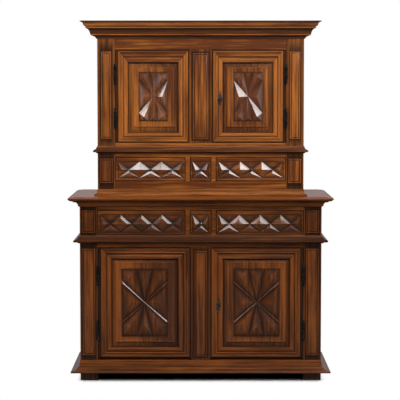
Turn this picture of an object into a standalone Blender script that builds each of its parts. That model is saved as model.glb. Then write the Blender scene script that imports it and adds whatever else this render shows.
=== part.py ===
"""Two-part cupboard in waxed walnut: a panelled upper body on a wider lower body with a worktop.

Metres, +Z up, front towards -Y, origin on the floor under the middle of the worktop.
"""
import math
from dataclasses import dataclass

import bmesh
import bpy
from mathutils import Matrix

# Clearances
SEAT = 0.0003           # between pieces that are fixed to each other
RUN = 0.0015            # around doors and drawers
HINGE_GAP = 0.003       # between a door and its post, where the hinge leaves lie
LAP = 0.002             # how far the boxes of one piece run into each other

# Stock
POST_WIDTH = 0.101
POST_DEPTH = 0.060
SIDE_THICKNESS = 0.030
BACK_THICKNESS = 0.012
BACK_RECESS = 0.004
BOARD_THICKNESS = 0.018
RAIL_THICKNESS = 0.030
DOOR_THICKNESS = 0.026
BACK_FOOT_LENGTH = 0.070

# Lower body
LOWER_WIDTH = 1.376
LOWER_DEPTH = 0.537
FOOT_HEIGHT = 0.048
PLINTH_HEIGHT = 0.069
PLINTH_PROJECTION = 0.042
SILL_GAP = 0.014
DOOR_STOP_RISE = 0.006
LOWER_DOOR_HEIGHT = 0.634
LOWER_RAIL_HEIGHT = 0.072
LOWER_WAIST_DROP = 0.005
LOWER_WAIST_HEIGHT = 0.044
LOWER_WAIST_PROJECTION = 0.038
LOWER_DRAWER_HEIGHT = 0.139
TOP_RAIL_HEIGHT = 0.051
LOWER_STILE_WIDTH = 0.110
LOWER_POST_PANEL_MARGIN = 0.0135
LOWER_HINGE_INSET = 0.160

# Worktop
TOP_OVERHANG = 0.058
TOP_BACK_OVERHANG = 0.005
TOP_THICKNESS = 0.025
COVE_HEIGHT = 0.033
COVE_PROJECTION = 0.034

# Upper body
UPPER_WIDTH = 1.178
UPPER_DEPTH = 0.465
UPPER_BASE_HEIGHT = 0.083
BASE_MOULDING_HEIGHT = 0.036
BASE_MOULDING_PROJECTION = 0.020
UPPER_DRAWER_HEIGHT = 0.136
UPPER_RAIL_HEIGHT = 0.081
UPPER_WAIST_DROP = 0.018
UPPER_WAIST_HEIGHT = 0.041
UPPER_WAIST_PROJECTION = 0.026
UPPER_DOOR_HEIGHT = 0.529
FRIEZE_HEIGHT = 0.072
CORNICE_HEIGHT = 0.088
CORNICE_PROJECTION = 0.091
UPPER_STILE_WIDTH = 0.128
UPPER_POST_PANEL_MARGIN = 0.021
UPPER_HINGE_INSET = 0.139

# Raised panels on posts and stiles
STILE_PANEL_MARGIN = 0.019
PANEL_EDGE = 0.004
PANEL_RISE = 0.005
PANEL_GROOVE = 0.004
PANEL_GROOVE_DEPTH = 0.003
SIDE_PANEL_MARGIN = 0.070
SIDE_PANEL_SINK = 0.008
SIDE_PANEL_BEVEL = 0.026

# Doors
DOOR_HINGE_MARGIN = 0.016
DOOR_PLAIN_MARGIN = 0.006
BEAD_WIDTH = 0.007
BEAD_SLOPE = 0.003
BEAD_RISE = 0.007
QUIRK_WIDTH = 0.004
QUIRK_DEPTH = 0.010
LOWER_BAND_WIDTH = 0.039
UPPER_BAND_WIDTH = 0.028
BAND_RISE = 0.007
LIP_WIDTH = 0.006
LIP_DEPTH = 0.011
TONGUE_THICKNESS = 0.010
TONGUE_SET_BACK = 0.0085
GROOVE_DEPTH = 0.007
TONGUE_PLAY = 0.001
LOWER_BEVEL_WIDTH = 0.024
UPPER_BEVEL_WIDTH = 0.016
BEVEL_RISE = 0.007
FIELD_STEP = 0.004
LOWER_CARVING = (0.267, 0.387)
UPPER_CARVING = (0.165, 0.281)
CARVING_STEP = 0.003
LOWER_STAR_RISE = 0.020
UPPER_STAR_RISE = 0.018
STAR_SIDE_SHARE = 0.60  # height of the side points, of half the carving's height
STAR_EDGE_SHARE = 0.35  # place of the top and bottom points, of half the carving's width

# Drawers
CENTRE_DRAWER_WIDTH = 0.120
DIVIDER_WIDTH = 0.025
DRAWER_FRONT_THICKNESS = 0.022
DRAWER_WALL = 0.011
DRAWER_BOTTOM = 0.009
DRAWER_BACK_ROOM = 0.025
DRAWER_SIDE_BORDER = 0.011
LOWER_DRAWER_BORDERS = (0.008, 0.024)   # bottom, top
UPPER_DRAWER_BORDERS = (0.015, 0.022)
CARVING_SINK = 0.003
DIAMOND_RISE = 0.016
LOWER_CELLS = 4
UPPER_CELLS = 3

# Hinges
BARREL_RADIUS = 0.0075
KNUCKLE_HEIGHT = 0.037
FINIAL_HEIGHT = 0.022
PIN_RADIUS = 0.0040
PIN_LENGTH = 0.026
PIN_PLAY = 0.0005
LEAF_THICKNESS = 0.0010
LEAF_DEPTH = 0.020
LEAF_END_MARGIN = 0.003
TURNED_STEPS = 12

# Knobs
KNOB_LENGTH = 0.024
KNOB_RADIUS = 0.0095
KNOB_STEM_RADIUS = 0.003

# Locks, on the right doors
KEY_BACKSET = 0.045
KEY_DROP = 0.015        # below the middle of the door
KEY_SHANK_RADIUS = 0.0036
KEY_REACH = 0.020
KEYHOLE_PLAY = 0.0006
BOW_RADIUS = 0.0095
BOW_WIRE_RADIUS = 0.0022
BOW_WIRE_SIDES = 8
BIT_LENGTH = 0.0034
BIT_THICKNESS = 0.0024
BOLT_HEIGHT = 0.010
BOLT_THICKNESS = 0.008
BOLT_LENGTH = 0.040
BOLT_SET_BACK = 0.0105
BOLT_TRAVEL = 0.012
STRIKE_ROOM = 0.002

# Moulding shapes: shares of the projection and of the height, from the bottom edge to the top edge
PLINTH_SHAPE = ((0.84, 0.0), (1.0, 0.09), (0.92, 0.17), (0.66, 0.29), (0.44, 0.44), (0.24, 0.64),
                (0.08, 0.86), (0.0, 1.0))
WAIST_SHAPE = ((0.22, 0.0), (0.40, 0.10), (0.78, 0.17), (1.0, 0.29), (0.86, 0.42), (0.52, 0.62),
               (0.22, 0.82), (0.0, 1.0))
BASE_SHAPE = ((1.0, 0.0), (1.0, 0.16), (0.52, 0.36), (0.22, 0.62), (0.0, 1.0))
COVE_SHAPE = ((0.0, 0.0), (0.16, 0.06), (0.24, 0.32), (0.50, 0.66), (0.86, 0.88), (1.0, 1.0))
NOSE_SHAPE = ((0.52, 0.0), (0.86, 0.10), (1.0, 0.28), (0.86, 0.52), (0.52, 0.76), (0.10, 0.92), (0.0, 1.0))
CORNICE_SHAPE = ((0.0, 0.0), (0.22, 0.08), (0.24, 0.16), (0.34, 0.24), (0.52, 0.42), (0.66, 0.54),
                 (0.68, 0.62), (0.76, 0.66), (0.82, 0.80), (0.94, 0.90), (1.0, 1.0))
FINIAL_SHAPE = ((0.0, 1.0), (0.42, 0.93), (0.58, 0.80), (0.44, 0.66), (0.28, 0.56), (0.60, 0.40),
                (0.84, 0.26), (0.62, 0.12), (1.0, 0.06), (1.0, 0.0))
KNOB_SHAPE = ((0.0, 1.0), (0.52, 0.97), (0.86, 0.86), (1.0, 0.70), (0.88, 0.52), (0.52, 0.38), (0.42, 0.20))
MOULDING_LIP = 0.004    # least thickness of an applied moulding, at its thin edge

# Heights of the two bodies, from the floor up
PLINTH_TOP = FOOT_HEIGHT + PLINTH_HEIGHT
LOWER_DOOR_BOTTOM = PLINTH_TOP + SILL_GAP
LOWER_DOOR_TOP = LOWER_DOOR_BOTTOM + LOWER_DOOR_HEIGHT
LOWER_RAIL_BOTTOM = LOWER_DOOR_TOP + RUN
LOWER_RUNNER = LOWER_RAIL_BOTTOM + LOWER_RAIL_HEIGHT
LOWER_DRAWER_TOP = LOWER_RUNNER + SEAT + LOWER_DRAWER_HEIGHT
TOP_RAIL_BOTTOM = LOWER_DRAWER_TOP + RUN
LOWER_TOP = TOP_RAIL_BOTTOM + TOP_RAIL_HEIGHT
WORKTOP_TOP = LOWER_TOP + SEAT + TOP_THICKNESS
UPPER_FLOOR = WORKTOP_TOP + SEAT
UPPER_RUNNER = UPPER_FLOOR + UPPER_BASE_HEIGHT
UPPER_DRAWER_TOP = UPPER_RUNNER + SEAT + UPPER_DRAWER_HEIGHT
UPPER_RAIL_BOTTOM = UPPER_DRAWER_TOP + RUN
UPPER_DECK = UPPER_RAIL_BOTTOM + UPPER_RAIL_HEIGHT
UPPER_DOOR_BOTTOM = UPPER_DECK + RUN
UPPER_DOOR_TOP = UPPER_DOOR_BOTTOM + UPPER_DOOR_HEIGHT
FRIEZE_BOTTOM = UPPER_DOOR_TOP + RUN
UPPER_TOP = FRIEZE_BOTTOM + FRIEZE_HEIGHT

# Depths, from the worktop's front nose back
TOP_DEPTH = LOWER_DEPTH + TOP_OVERHANG + TOP_BACK_OVERHANG
LOWER_FRONT = -TOP_DEPTH / 2 + TOP_OVERHANG
BACK = TOP_DEPTH / 2 - TOP_BACK_OVERHANG
UPPER_FRONT = BACK - UPPER_DEPTH
BACK_BOARD_FRONT = BACK - BACK_RECESS - BACK_THICKNESS

LEFT, RIGHT = -1, 1
SIDES = {"left": LEFT, "right": RIGHT}


@dataclass(frozen=True)
class Body:
    """The places that the pieces of one of the two bodies share."""

    name: str
    half: float
    front: float
    floor: float
    top: float
    door_bottom: float
    door_top: float
    stile_bottom: float
    stile_half: float
    runner: float
    drawer_top: float
    panel_margin: float
    hinge_inset: float
    band_width: float
    bevel_width: float
    carving: tuple
    star_rise: float
    drawer_borders: tuple
    cells: int
    wood: str

    @property
    def post_inside(self):
        """Distance from the middle to the inner edge of a post."""
        return self.half - POST_WIDTH

    @property
    def side_inside(self):
        """Distance from the middle to the inner face of a side."""
        return self.half - SIDE_THICKNESS

    @property
    def hinge_x(self):
        """Distance from the middle to the hinge axes."""
        return self.post_inside - HINGE_GAP / 2

    @property
    def hinge_y(self):
        """The barrels stand against the front of the posts."""
        return self.front - BARREL_RADIUS - SEAT

    @property
    def drawer_end(self):
        """Back end of the drawers."""
        return BACK_BOARD_FRONT - DRAWER_BACK_ROOM

    @property
    def key_place(self):
        """Axis of the key: its distance from the middle and its height."""
        return self.stile_half + RUN + KEY_BACKSET, (self.door_bottom + self.door_top) / 2 - KEY_DROP


LOWER = Body("lower", LOWER_WIDTH / 2, LOWER_FRONT, 0.0, LOWER_TOP, LOWER_DOOR_BOTTOM, LOWER_DOOR_TOP,
             PLINTH_TOP, LOWER_STILE_WIDTH / 2, LOWER_RUNNER, LOWER_DRAWER_TOP, LOWER_POST_PANEL_MARGIN,
             LOWER_HINGE_INSET, LOWER_BAND_WIDTH, LOWER_BEVEL_WIDTH, LOWER_CARVING, LOWER_STAR_RISE,
             LOWER_DRAWER_BORDERS, LOWER_CELLS, "walnut_dark")
UPPER = Body("upper", UPPER_WIDTH / 2, UPPER_FRONT, UPPER_FLOOR, UPPER_TOP, UPPER_DOOR_BOTTOM, UPPER_DOOR_TOP,
             UPPER_DECK, UPPER_STILE_WIDTH / 2, UPPER_RUNNER, UPPER_DRAWER_TOP, UPPER_POST_PANEL_MARGIN,
             UPPER_HINGE_INSET, UPPER_BAND_WIDTH, UPPER_BEVEL_WIDTH, UPPER_CARVING, UPPER_STAR_RISE,
             UPPER_DRAWER_BORDERS, UPPER_CELLS, "walnut")

FINISHES = {
    "walnut": ((0.255, 0.098, 0.030), 0.32, 0.0),
    "walnut_dark": ((0.165, 0.056, 0.020), 0.32, 0.0),
    "iron": ((0.012, 0.011, 0.011), 0.45, 1.0),
    "bronze": ((0.070, 0.062, 0.045), 0.40, 1.0),
}

for leftover in list(bpy.data.objects):
    bpy.data.objects.remove(leftover)
PARTS = bpy.data.collections.new("two_part_credenza")
CUTTERS = bpy.data.collections.new("cutters")
bpy.context.scene.collection.children.link(PARTS)
bpy.context.scene.collection.children.link(CUTTERS)


def finish(name):
    """The material of that name, made on first use."""
    found = bpy.data.materials.get(name)
    if found:
        return found
    colour, roughness, metallic = FINISHES[name]
    made = bpy.data.materials.new(name)
    made.use_nodes = True
    shader = made.node_tree.nodes["Principled BSDF"]
    shader.inputs["Base Color"].default_value = (*colour, 1.0)
    shader.inputs["Roughness"].default_value = roughness
    shader.inputs["Metallic"].default_value = metallic
    return made


def add_piece(name, bm, wood, origin=(0.0, 0.0, 0.0)):
    """A named piece from a mesh in world places, with its origin at the given point."""
    bmesh.ops.translate(bm, verts=bm.verts, vec=[-value for value in origin])
    mesh = bpy.data.meshes.new(name)
    bm.to_mesh(mesh)
    bm.free()
    piece = bpy.data.objects.new(name, mesh)
    piece.location = origin
    piece.data.materials.append(finish(wood))
    PARTS.objects.link(piece)
    return piece


def add_cutter(name, bm):
    """A helper mesh that a Boolean reads."""
    mesh = bpy.data.meshes.new(name)
    bm.to_mesh(mesh)
    bm.free()
    cutter = bpy.data.objects.new(name, mesh)
    cutter.hide_render = True
    cutter.display_type = "WIRE"
    CUTTERS.objects.link(cutter)
    return cutter


def add_box(bm, low, high):
    """A box between two corners."""
    middle = [(a + b) / 2 for a, b in zip(low, high)]
    size = [b - a for a, b in zip(low, high)]
    place = Matrix.Translation(middle) @ Matrix.Diagonal((*size, 1.0))
    bmesh.ops.create_cube(bm, size=1.0, matrix=place)


def box_mesh(low, high):
    """A new mesh that holds one box."""
    bm = bmesh.new()
    add_box(bm, low, high)
    return bm


def combine(piece, bm, operation="UNION"):
    """Join a mesh to a piece, or cut it out."""
    helper = add_cutter(f"{piece.name}_{operation.lower()}_{len(piece.modifiers)}", bm)
    step = piece.modifiers.new(helper.name, "BOOLEAN")
    step.operation = operation
    step.solver = "EXACT"
    step.object = helper


def outer_face(bm, direction, low=None, high=None):
    """The face that looks most in a direction, among those whose middle is between two heights."""
    def score(face):
        middle = face.calc_center_median()
        if low is not None and not low < middle.z < high:
            return -2.0, 0.0
        return round(face.normal.dot(direction), 3), sum(a * b for a, b in zip(middle, direction))
    bm.normal_update()
    return max(bm.faces, key=score)


def inset(bm, face, steps):
    """Step a face inwards: each step is a width and a rise along the face's normal."""
    for width, rise in steps:
        bmesh.ops.inset_region(bm, faces=[face], thickness=width, depth=rise, use_even_offset=True)


def fit_face(face, first, second, low, high):
    """Move a rectangle's corners to low and high values along two axes."""
    middle = face.calc_center_median()
    for vert in face.verts:
        vert.co[first] = high[0] if vert.co[first] > middle[first] else low[0]
        vert.co[second] = high[1] if vert.co[second] > middle[second] else low[1]


def extrude(bm, face):
    """Extrude one face in place and return the new face."""
    return bmesh.ops.extrude_discrete_faces(bm, faces=[face])["faces"][0]


def cut_level(bm, height):
    """Cut edges round a whole mesh at a height."""
    bmesh.ops.bisect_plane(bm, geom=bm.verts[:] + bm.edges[:] + bm.faces[:],
                           plane_co=(0.0, 0.0, height), plane_no=(0.0, 0.0, 1.0))


def raised_steps(margin):
    """A raised panel with a quirk round its field."""
    return ((margin, 0.0), (PANEL_EDGE, PANEL_RISE), (PANEL_EDGE, 0.0),
            (PANEL_GROOVE, -PANEL_GROOVE_DEPTH), (PANEL_GROOVE, PANEL_GROOVE_DEPTH))


def moulding(shape, projection, height, bottom, lip=MOULDING_LIP):
    """Points of a moulding: how far it stands out, and its height."""
    return [(lip + share * (projection - lip), bottom + rise * height) for share, rise in shape]


def moulded_slab(points, half, front, back):
    """A slab whose front and side edges follow a moulding, with a straight back.

    A rectangle is extruded upwards and grows or shrinks with the moulding at each point.
    """
    bm = bmesh.new()
    bmesh.ops.create_cube(bm, size=1.0)
    bottom, top = outer_face(bm, (0.0, 0.0, -1.0)), outer_face(bm, (0.0, 0.0, 1.0))
    for index, (out, height) in enumerate(points):
        if index > 1:
            top = extrude(bm, top)
        face = top if index else bottom
        fit_face(face, 0, 1, (-half - out, front - out), (half + out, back))
        for vert in face.verts:
            vert.co.z = height
    return bm


def carcass_space(body, low, high):
    """The outside of a body's posts, sides and rails, with the seat round it, for cutting mouldings."""
    reach = body.half + SEAT
    return box_mesh((-reach, body.front - SEAT, low), (reach, BACK + POST_DEPTH, high))


def between_posts(body, low, high, front=None, depth=RAIL_THICKNESS):
    """A rail that runs from post to post, flush with their fronts."""
    reach = body.post_inside - SEAT
    start = body.front if front is None else front
    return box_mesh((-reach, start, low), (reach, body.front + depth, high))


def between_sides(body, low, high):
    """A board from side to side, from behind the posts to the back board."""
    reach = body.side_inside - SEAT
    start = body.front + POST_DEPTH + SEAT
    return box_mesh((-reach, start, low), (reach, BACK_BOARD_FRONT - SEAT, high))


def tie_depth():
    """Depth of a rail that reaches back into the board behind the posts."""
    return POST_DEPTH + SEAT + LAP


def build_posts(body, panels):
    """Front corner posts with a raised panel in each stretch of their height."""
    for side, sign in SIDES.items():
        edges = sorted((sign * body.half, sign * body.post_inside))
        bm = box_mesh((edges[0], body.front, body.floor), (edges[1], body.front + POST_DEPTH, body.top))
        for low, high in panels:
            cut_level(bm, low)
            cut_level(bm, high)
        for low, high in panels:
            inset(bm, outer_face(bm, (0.0, -1.0, 0.0), low, high), raised_steps(body.panel_margin))
        add_piece(f"{body.name}_post_{side}", bm, body.wood)


def build_sides(body, bottom, panels):
    """Side boards with sunk fielded panels; where they start above the floor, a foot stands at the back."""
    for side, sign in SIDES.items():
        edges = sorted((sign * body.half, sign * body.side_inside))
        start = body.front + POST_DEPTH + SEAT
        bm = box_mesh((edges[0], start, bottom), (edges[1], BACK, body.top))
        if bottom > body.floor:
            under = outer_face(bm, (0.0, 0.0, -1.0))
            bmesh.ops.bisect_plane(bm, geom=[under] + under.edges[:] + under.verts[:],
                                   plane_co=(0.0, BACK - BACK_FOOT_LENGTH, 0.0), plane_no=(0.0, 1.0, 0.0))
            behind = [face for face in bm.faces if face.normal.z < -0.5]
            foot = extrude(bm, max(behind, key=lambda face: face.calc_center_median().y))
            for vert in foot.verts:
                vert.co.z = body.floor
        for low, high in panels:
            cut_level(bm, low)
            cut_level(bm, high)
        for low, high in panels:
            field = outer_face(bm, (sign, 0.0, 0.0), low, high)
            margin = min(SIDE_PANEL_MARGIN, (high - low) / 4)
            inset(bm, field, ((margin, 0.0), (PANEL_EDGE, -SIDE_PANEL_SINK), (margin / 3, 0.0),
                              (min(SIDE_PANEL_BEVEL, margin / 2), SIDE_PANEL_SINK / 2)))
        add_piece(f"{body.name}_side_{side}", bm, body.wood)


def build_back(body, bottom):
    """A plain board between the sides."""
    reach = body.side_inside - SEAT
    bm = box_mesh((-reach, BACK_BOARD_FRONT, bottom), (reach, BACK_BOARD_FRONT + BACK_THICKNESS, body.top))
    add_piece(f"{body.name}_back", bm, body.wood)


def bolt_space(body, play):
    """The bolt's box at rest, grown by a play: low and high corners."""
    key_x, key_z = body.key_place
    edge = body.stile_half + RUN
    bottom = key_z + KEY_SHANK_RADIUS + KEYHOLE_PLAY
    start = body.front + BOLT_SET_BACK
    low = (edge + SEAT, start - play, bottom - play)
    high = (edge + SEAT + BOLT_LENGTH, start + BOLT_THICKNESS + play, bottom + BOLT_HEIGHT + play)
    return low, high


def build_stile(body, rail_bottom):
    """The fixed stile between the doors, with a raised panel and the mortise that the bolt enters."""
    bm = box_mesh((-body.stile_half, body.front, body.stile_bottom + SEAT),
                  (body.stile_half, body.front + DOOR_THICKNESS, rail_bottom - SEAT))
    inset(bm, outer_face(bm, (0.0, -1.0, 0.0)), raised_steps(STILE_PANEL_MARGIN))
    stile = add_piece(f"{body.name}_centre_stile", bm, body.wood)
    low, high = bolt_space(body, KEYHOLE_PLAY)
    mortise = box_mesh((low[0] - BOLT_TRAVEL - STRIKE_ROOM, low[1], low[2]), high)
    combine(stile, mortise, "DIFFERENCE")


def build_waist(body, top, height, projection):
    """The moulding round the front and the sides."""
    points = moulding(WAIST_SHAPE, projection, height, top - height)
    slab = moulded_slab(points, body.half, body.front, BACK)
    piece = add_piece(f"{body.name}_waist_moulding", slab, body.wood)
    combine(piece, carcass_space(body, body.floor, body.top), "DIFFERENCE")


def build_base(name, body, points, rail_bottom, rail_top):
    """A moulding round the foot of a body, with the rail between the posts and the board behind it."""
    piece = add_piece(name, moulded_slab(points, body.half, body.front, BACK), body.wood)
    combine(piece, carcass_space(body, body.floor - POST_DEPTH, rail_top + POST_DEPTH), "DIFFERENCE")
    combine(piece, between_posts(body, rail_bottom, rail_top, body.front - SEAT - LAP, tie_depth()))
    combine(piece, between_sides(body, rail_top - BOARD_THICKNESS, rail_top))
    return piece


def build_plinth():
    """Plinth, sill and cupboard floor, with the strip that stops the doors."""
    points = moulding(PLINTH_SHAPE, PLINTH_PROJECTION, PLINTH_HEIGHT, FOOT_HEIGHT)
    piece = build_base("lower_plinth", LOWER, points, FOOT_HEIGHT + LAP, PLINTH_TOP)
    stop_top = LOWER_DOOR_BOTTOM + DOOR_STOP_RISE
    stop_front = LOWER.front + DOOR_THICKNESS + RUN
    combine(piece, between_posts(LOWER, PLINTH_TOP - LAP, stop_top, stop_front, tie_depth() + LAP))


def build_upper_base():
    """Flared base moulding, rail and the board that the upper drawers run on."""
    points = moulding(BASE_SHAPE, BASE_MOULDING_PROJECTION, BASE_MOULDING_HEIGHT, UPPER_FLOOR)
    build_base("upper_base", UPPER, points, UPPER_FLOOR, UPPER_RUNNER)


def divider_mesh(body, sign, low, high):
    """One of the boards between the centre drawer and a long one."""
    inner = CENTRE_DRAWER_WIDTH / 2 + RUN
    edges = sorted((sign * inner, sign * (inner + DIVIDER_WIDTH)))
    return box_mesh((edges[0], body.front, low), (edges[1], BACK_BOARD_FRONT - SEAT, high))


def build_lower_drawer_frame():
    """Rail and dust board under the drawers, dividers between them, and the rail over them."""
    piece = add_piece("lower_drawer_frame",
                      between_posts(LOWER, LOWER_RAIL_BOTTOM, LOWER_RUNNER, depth=tie_depth()), LOWER.wood)
    combine(piece, between_sides(LOWER, LOWER_RUNNER - BOARD_THICKNESS, LOWER_RUNNER))
    for sign in SIDES.values():
        combine(piece, divider_mesh(LOWER, sign, LOWER_RUNNER - LAP, TOP_RAIL_BOTTOM + LAP))
    combine(piece, between_posts(LOWER, TOP_RAIL_BOTTOM, LOWER_TOP))


def build_upper_drawer_frame():
    """Floor of the upper cupboard with its rail, and the dividers that stand on the base."""
    piece = add_piece("upper_drawer_frame",
                      between_posts(UPPER, UPPER_RAIL_BOTTOM, UPPER_DECK, depth=tie_depth()), UPPER.wood)
    combine(piece, between_sides(UPPER, UPPER_DECK - BOARD_THICKNESS, UPPER_DECK))
    for sign in SIDES.values():
        combine(piece, divider_mesh(UPPER, sign, UPPER_RUNNER + SEAT, UPPER_DECK - BOARD_THICKNESS + LAP))


def build_worktop():
    """Worktop with a rounded nose, and the cove moulding under it that hugs the lower body."""
    under = LOWER_TOP + SEAT
    points = moulding(COVE_SHAPE, COVE_PROJECTION, COVE_HEIGHT, under - COVE_HEIGHT)
    points += moulding(NOSE_SHAPE, TOP_OVERHANG, TOP_THICKNESS, under, lip=COVE_PROJECTION / 2)[1:]
    bm = moulded_slab(points, LOWER.half, LOWER.front, BACK + TOP_BACK_OVERHANG)
    piece = add_piece("worktop", bm, LOWER.wood)
    combine(piece, carcass_space(LOWER, LOWER_RUNNER, under), "DIFFERENCE")


def build_cornice():
    """Cornice with its roof board, on the posts, and the frieze rail that hangs between them."""
    bottom = UPPER_TOP + SEAT
    points = moulding(CORNICE_SHAPE, CORNICE_PROJECTION, CORNICE_HEIGHT, bottom, lip=0.0)
    piece = add_piece("cornice", moulded_slab(points, UPPER.half, UPPER.front, BACK), UPPER.wood)
    hollow = box_mesh((-UPPER.side_inside, UPPER.front + RAIL_THICKNESS, bottom - POST_DEPTH),
                      (UPPER.side_inside, BACK_BOARD_FRONT, bottom + CORNICE_HEIGHT - BOARD_THICKNESS))
    combine(piece, hollow, "DIFFERENCE")
    combine(piece, between_posts(UPPER, FRIEZE_BOTTOM, bottom + LAP))


def carve_star(bm, face, rise):
    """Facet a rectangle into a cross of eight raised points round its centre.

    Two new points on each edge, a fan from the centre, the two triangles at each corner joined
    to a kite, and each of the eight faces drawn up to a point.
    """
    middle = face.calc_center_median()
    corners = face.verts[:]
    half_x = max(abs(vert.co.x - middle.x) for vert in corners)
    half_z = max(abs(vert.co.z - middle.z) for vert in corners)
    bmesh.ops.bisect_edges(bm, edges=face.edges[:], cuts=2)
    for vert in face.verts:
        offset = vert.co - middle
        if vert in corners:
            continue
        if abs(offset.x) > half_x - LAP:
            vert.co.z = middle.z + math.copysign(STAR_SIDE_SHARE * half_z, offset.z)
        else:
            vert.co.x = middle.x + math.copysign(STAR_EDGE_SHARE * half_x, offset.x)
    centre = bmesh.ops.poke(bm, faces=[face])["verts"][0]
    spokes = [edge for edge in centre.link_edges if edge.other_vert(centre) in corners]
    bmesh.ops.dissolve_edges(bm, edges=spokes, use_verts=False)
    bmesh.ops.poke(bm, faces=centre.link_faces[:], offset=rise)


def carve_diamonds(bm, face, cells):
    """Facet a rectangle into a row of crosses with diamond points between them.

    The row is cut into cells, each cell is fanned from its centre, the triangles either side of
    a cut are joined to a diamond, and every face is drawn up to a point.
    """
    cuts = []
    if cells > 1:
        level = [edge for edge in face.edges if abs(edge.verts[0].co.z - edge.verts[1].co.z) < LAP]
        corners = face.verts[:]
        bmesh.ops.bisect_edges(bm, edges=level, cuts=cells - 1)
        added = sorted((vert for vert in face.verts if vert not in corners), key=lambda vert: vert.co.x)
        for pair in zip(added[::2], added[1::2]):
            cuts += bmesh.ops.connect_verts(bm, verts=list(pair))["edges"]
    row = list(dict.fromkeys(part for edge in cuts for part in edge.link_faces)) or [face]
    centres = bmesh.ops.poke(bm, faces=row)["verts"]
    bmesh.ops.dissolve_edges(bm, edges=cuts, use_verts=False)
    facets = list(dict.fromkeys(facet for vert in centres for facet in vert.link_faces))
    bmesh.ops.poke(bm, faces=facets, offset=DIAMOND_RISE)


def door_edges(body, sign):
    """Low and high x of a door, at the centre stile and at the hinge gap."""
    inner, outer = body.stile_half + RUN, body.hinge_x - HINGE_GAP / 2
    return sorted((sign * inner, sign * outer))


def moulded_rectangle(body, sign):
    """The rectangle of a door that its mouldings start from: low and high x and z."""
    low, high = door_edges(body, sign)
    left, right = DOOR_HINGE_MARGIN, DOOR_PLAIN_MARGIN
    if sign == RIGHT:
        left, right = right, left
    return ((low + left, body.door_bottom + DOOR_PLAIN_MARGIN),
            (high - right, body.door_top - DOOR_PLAIN_MARGIN))


def frame_steps(body):
    """The mouldings of a door frame, from its outer bead to the lip round the panel."""
    return ((BEAD_SLOPE, BEAD_RISE), (BEAD_WIDTH, 0.0), (QUIRK_WIDTH, -QUIRK_DEPTH),
            (body.band_width, BAND_RISE), (BEAD_SLOPE, BEAD_SLOPE), (BEAD_WIDTH, 0.0),
            (LIP_WIDTH, -LIP_DEPTH))


def grown(rectangle, margin):
    """A rectangle grown by a margin all round."""
    (low_x, low_z), (high_x, high_z) = rectangle
    return (low_x - margin, low_z - margin), (high_x + margin, high_z + margin)


def upright_box(rectangle, front, back):
    """A box over a rectangle of x and z, between two depths."""
    (low_x, low_z), (high_x, high_z) = rectangle
    return box_mesh((low_x, front, low_z), (high_x, back, high_z))


def cut_lock(frame, body):
    """The bolt's slot in the edge of a right door, and the keyhole that opens into it."""
    key_x, key_z = body.key_place
    low, high = bolt_space(body, KEYHOLE_PLAY)
    sweep = KEY_SHANK_RADIUS + BIT_LENGTH + KEYHOLE_PLAY
    slot = box_mesh((low[0] - RUN - LAP, low[1], key_z - sweep), (key_x + sweep, high[1], high[2]))
    combine(frame, slot, "DIFFERENCE")
    reach = KEY_SHANK_RADIUS + KEYHOLE_PLAY
    keyhole = box_mesh((key_x - reach, body.front - KEY_REACH, key_z - sweep + SEAT),
                       (key_x + reach, low[1] + LAP, key_z + reach - SEAT))
    combine(frame, keyhole, "DIFFERENCE")


def build_door(body, side, sign):
    """A door: a moulded frame with a groove, and a fielded panel with a carved cross in it."""
    low_x, high_x = door_edges(body, sign)
    pivot = (sign * body.hinge_x, body.hinge_y, body.door_bottom)
    outline = ((low_x, body.door_bottom), (high_x, body.door_top))
    back = body.front + DOOR_THICKNESS
    bm = upright_box(outline, body.front, back)
    face, rear = outer_face(bm, (0.0, -1.0, 0.0)), outer_face(bm, (0.0, 1.0, 0.0))
    start = moulded_rectangle(body, sign)
    inset(bm, face, ((DOOR_PLAIN_MARGIN, 0.0),))
    fit_face(face, 0, 2, *start)
    inset(bm, face, frame_steps(body))
    opening = grown(start, -sum(width for width, _ in frame_steps(body)))
    inset(bm, rear, ((DOOR_PLAIN_MARGIN, 0.0),))
    fit_face(rear, 0, 2, *opening)
    loops = face.edges[:] + rear.edges[:]
    bmesh.ops.delete(bm, geom=[face, rear], context="FACES_ONLY")
    bmesh.ops.bridge_loops(bm, edges=loops)
    frame = add_piece(f"{body.name}_door_{side}_frame", bm, body.wood, pivot)
    tongue_front = body.front + TONGUE_SET_BACK
    tongue_back = tongue_front + TONGUE_THICKNESS
    groove = upright_box(grown(opening, GROOVE_DEPTH), tongue_front - SEAT, tongue_back + SEAT)
    combine(frame, groove, "DIFFERENCE")
    if sign == RIGHT:
        cut_lock(frame, body)

    bm = upright_box(grown(opening, GROOVE_DEPTH - TONGUE_PLAY), tongue_front, tongue_back)
    face = outer_face(bm, (0.0, -1.0, 0.0))
    inset(bm, face, ((GROOVE_DEPTH, 0.0), (body.bevel_width, BEVEL_RISE), (BEAD_SLOPE, FIELD_STEP),
                     (LIP_WIDTH, 0.0)))
    middle = face.calc_center_median()
    width, height = body.carving
    fit_face(face, 0, 2, (middle.x - width / 2, middle.z - height / 2),
             (middle.x + width / 2, middle.z + height / 2))
    inset(bm, face, ((BEAD_SLOPE, CARVING_STEP),))
    carve_star(bm, face, body.star_rise)
    add_piece(f"{body.name}_door_{side}_panel", bm, body.wood, pivot)


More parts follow.
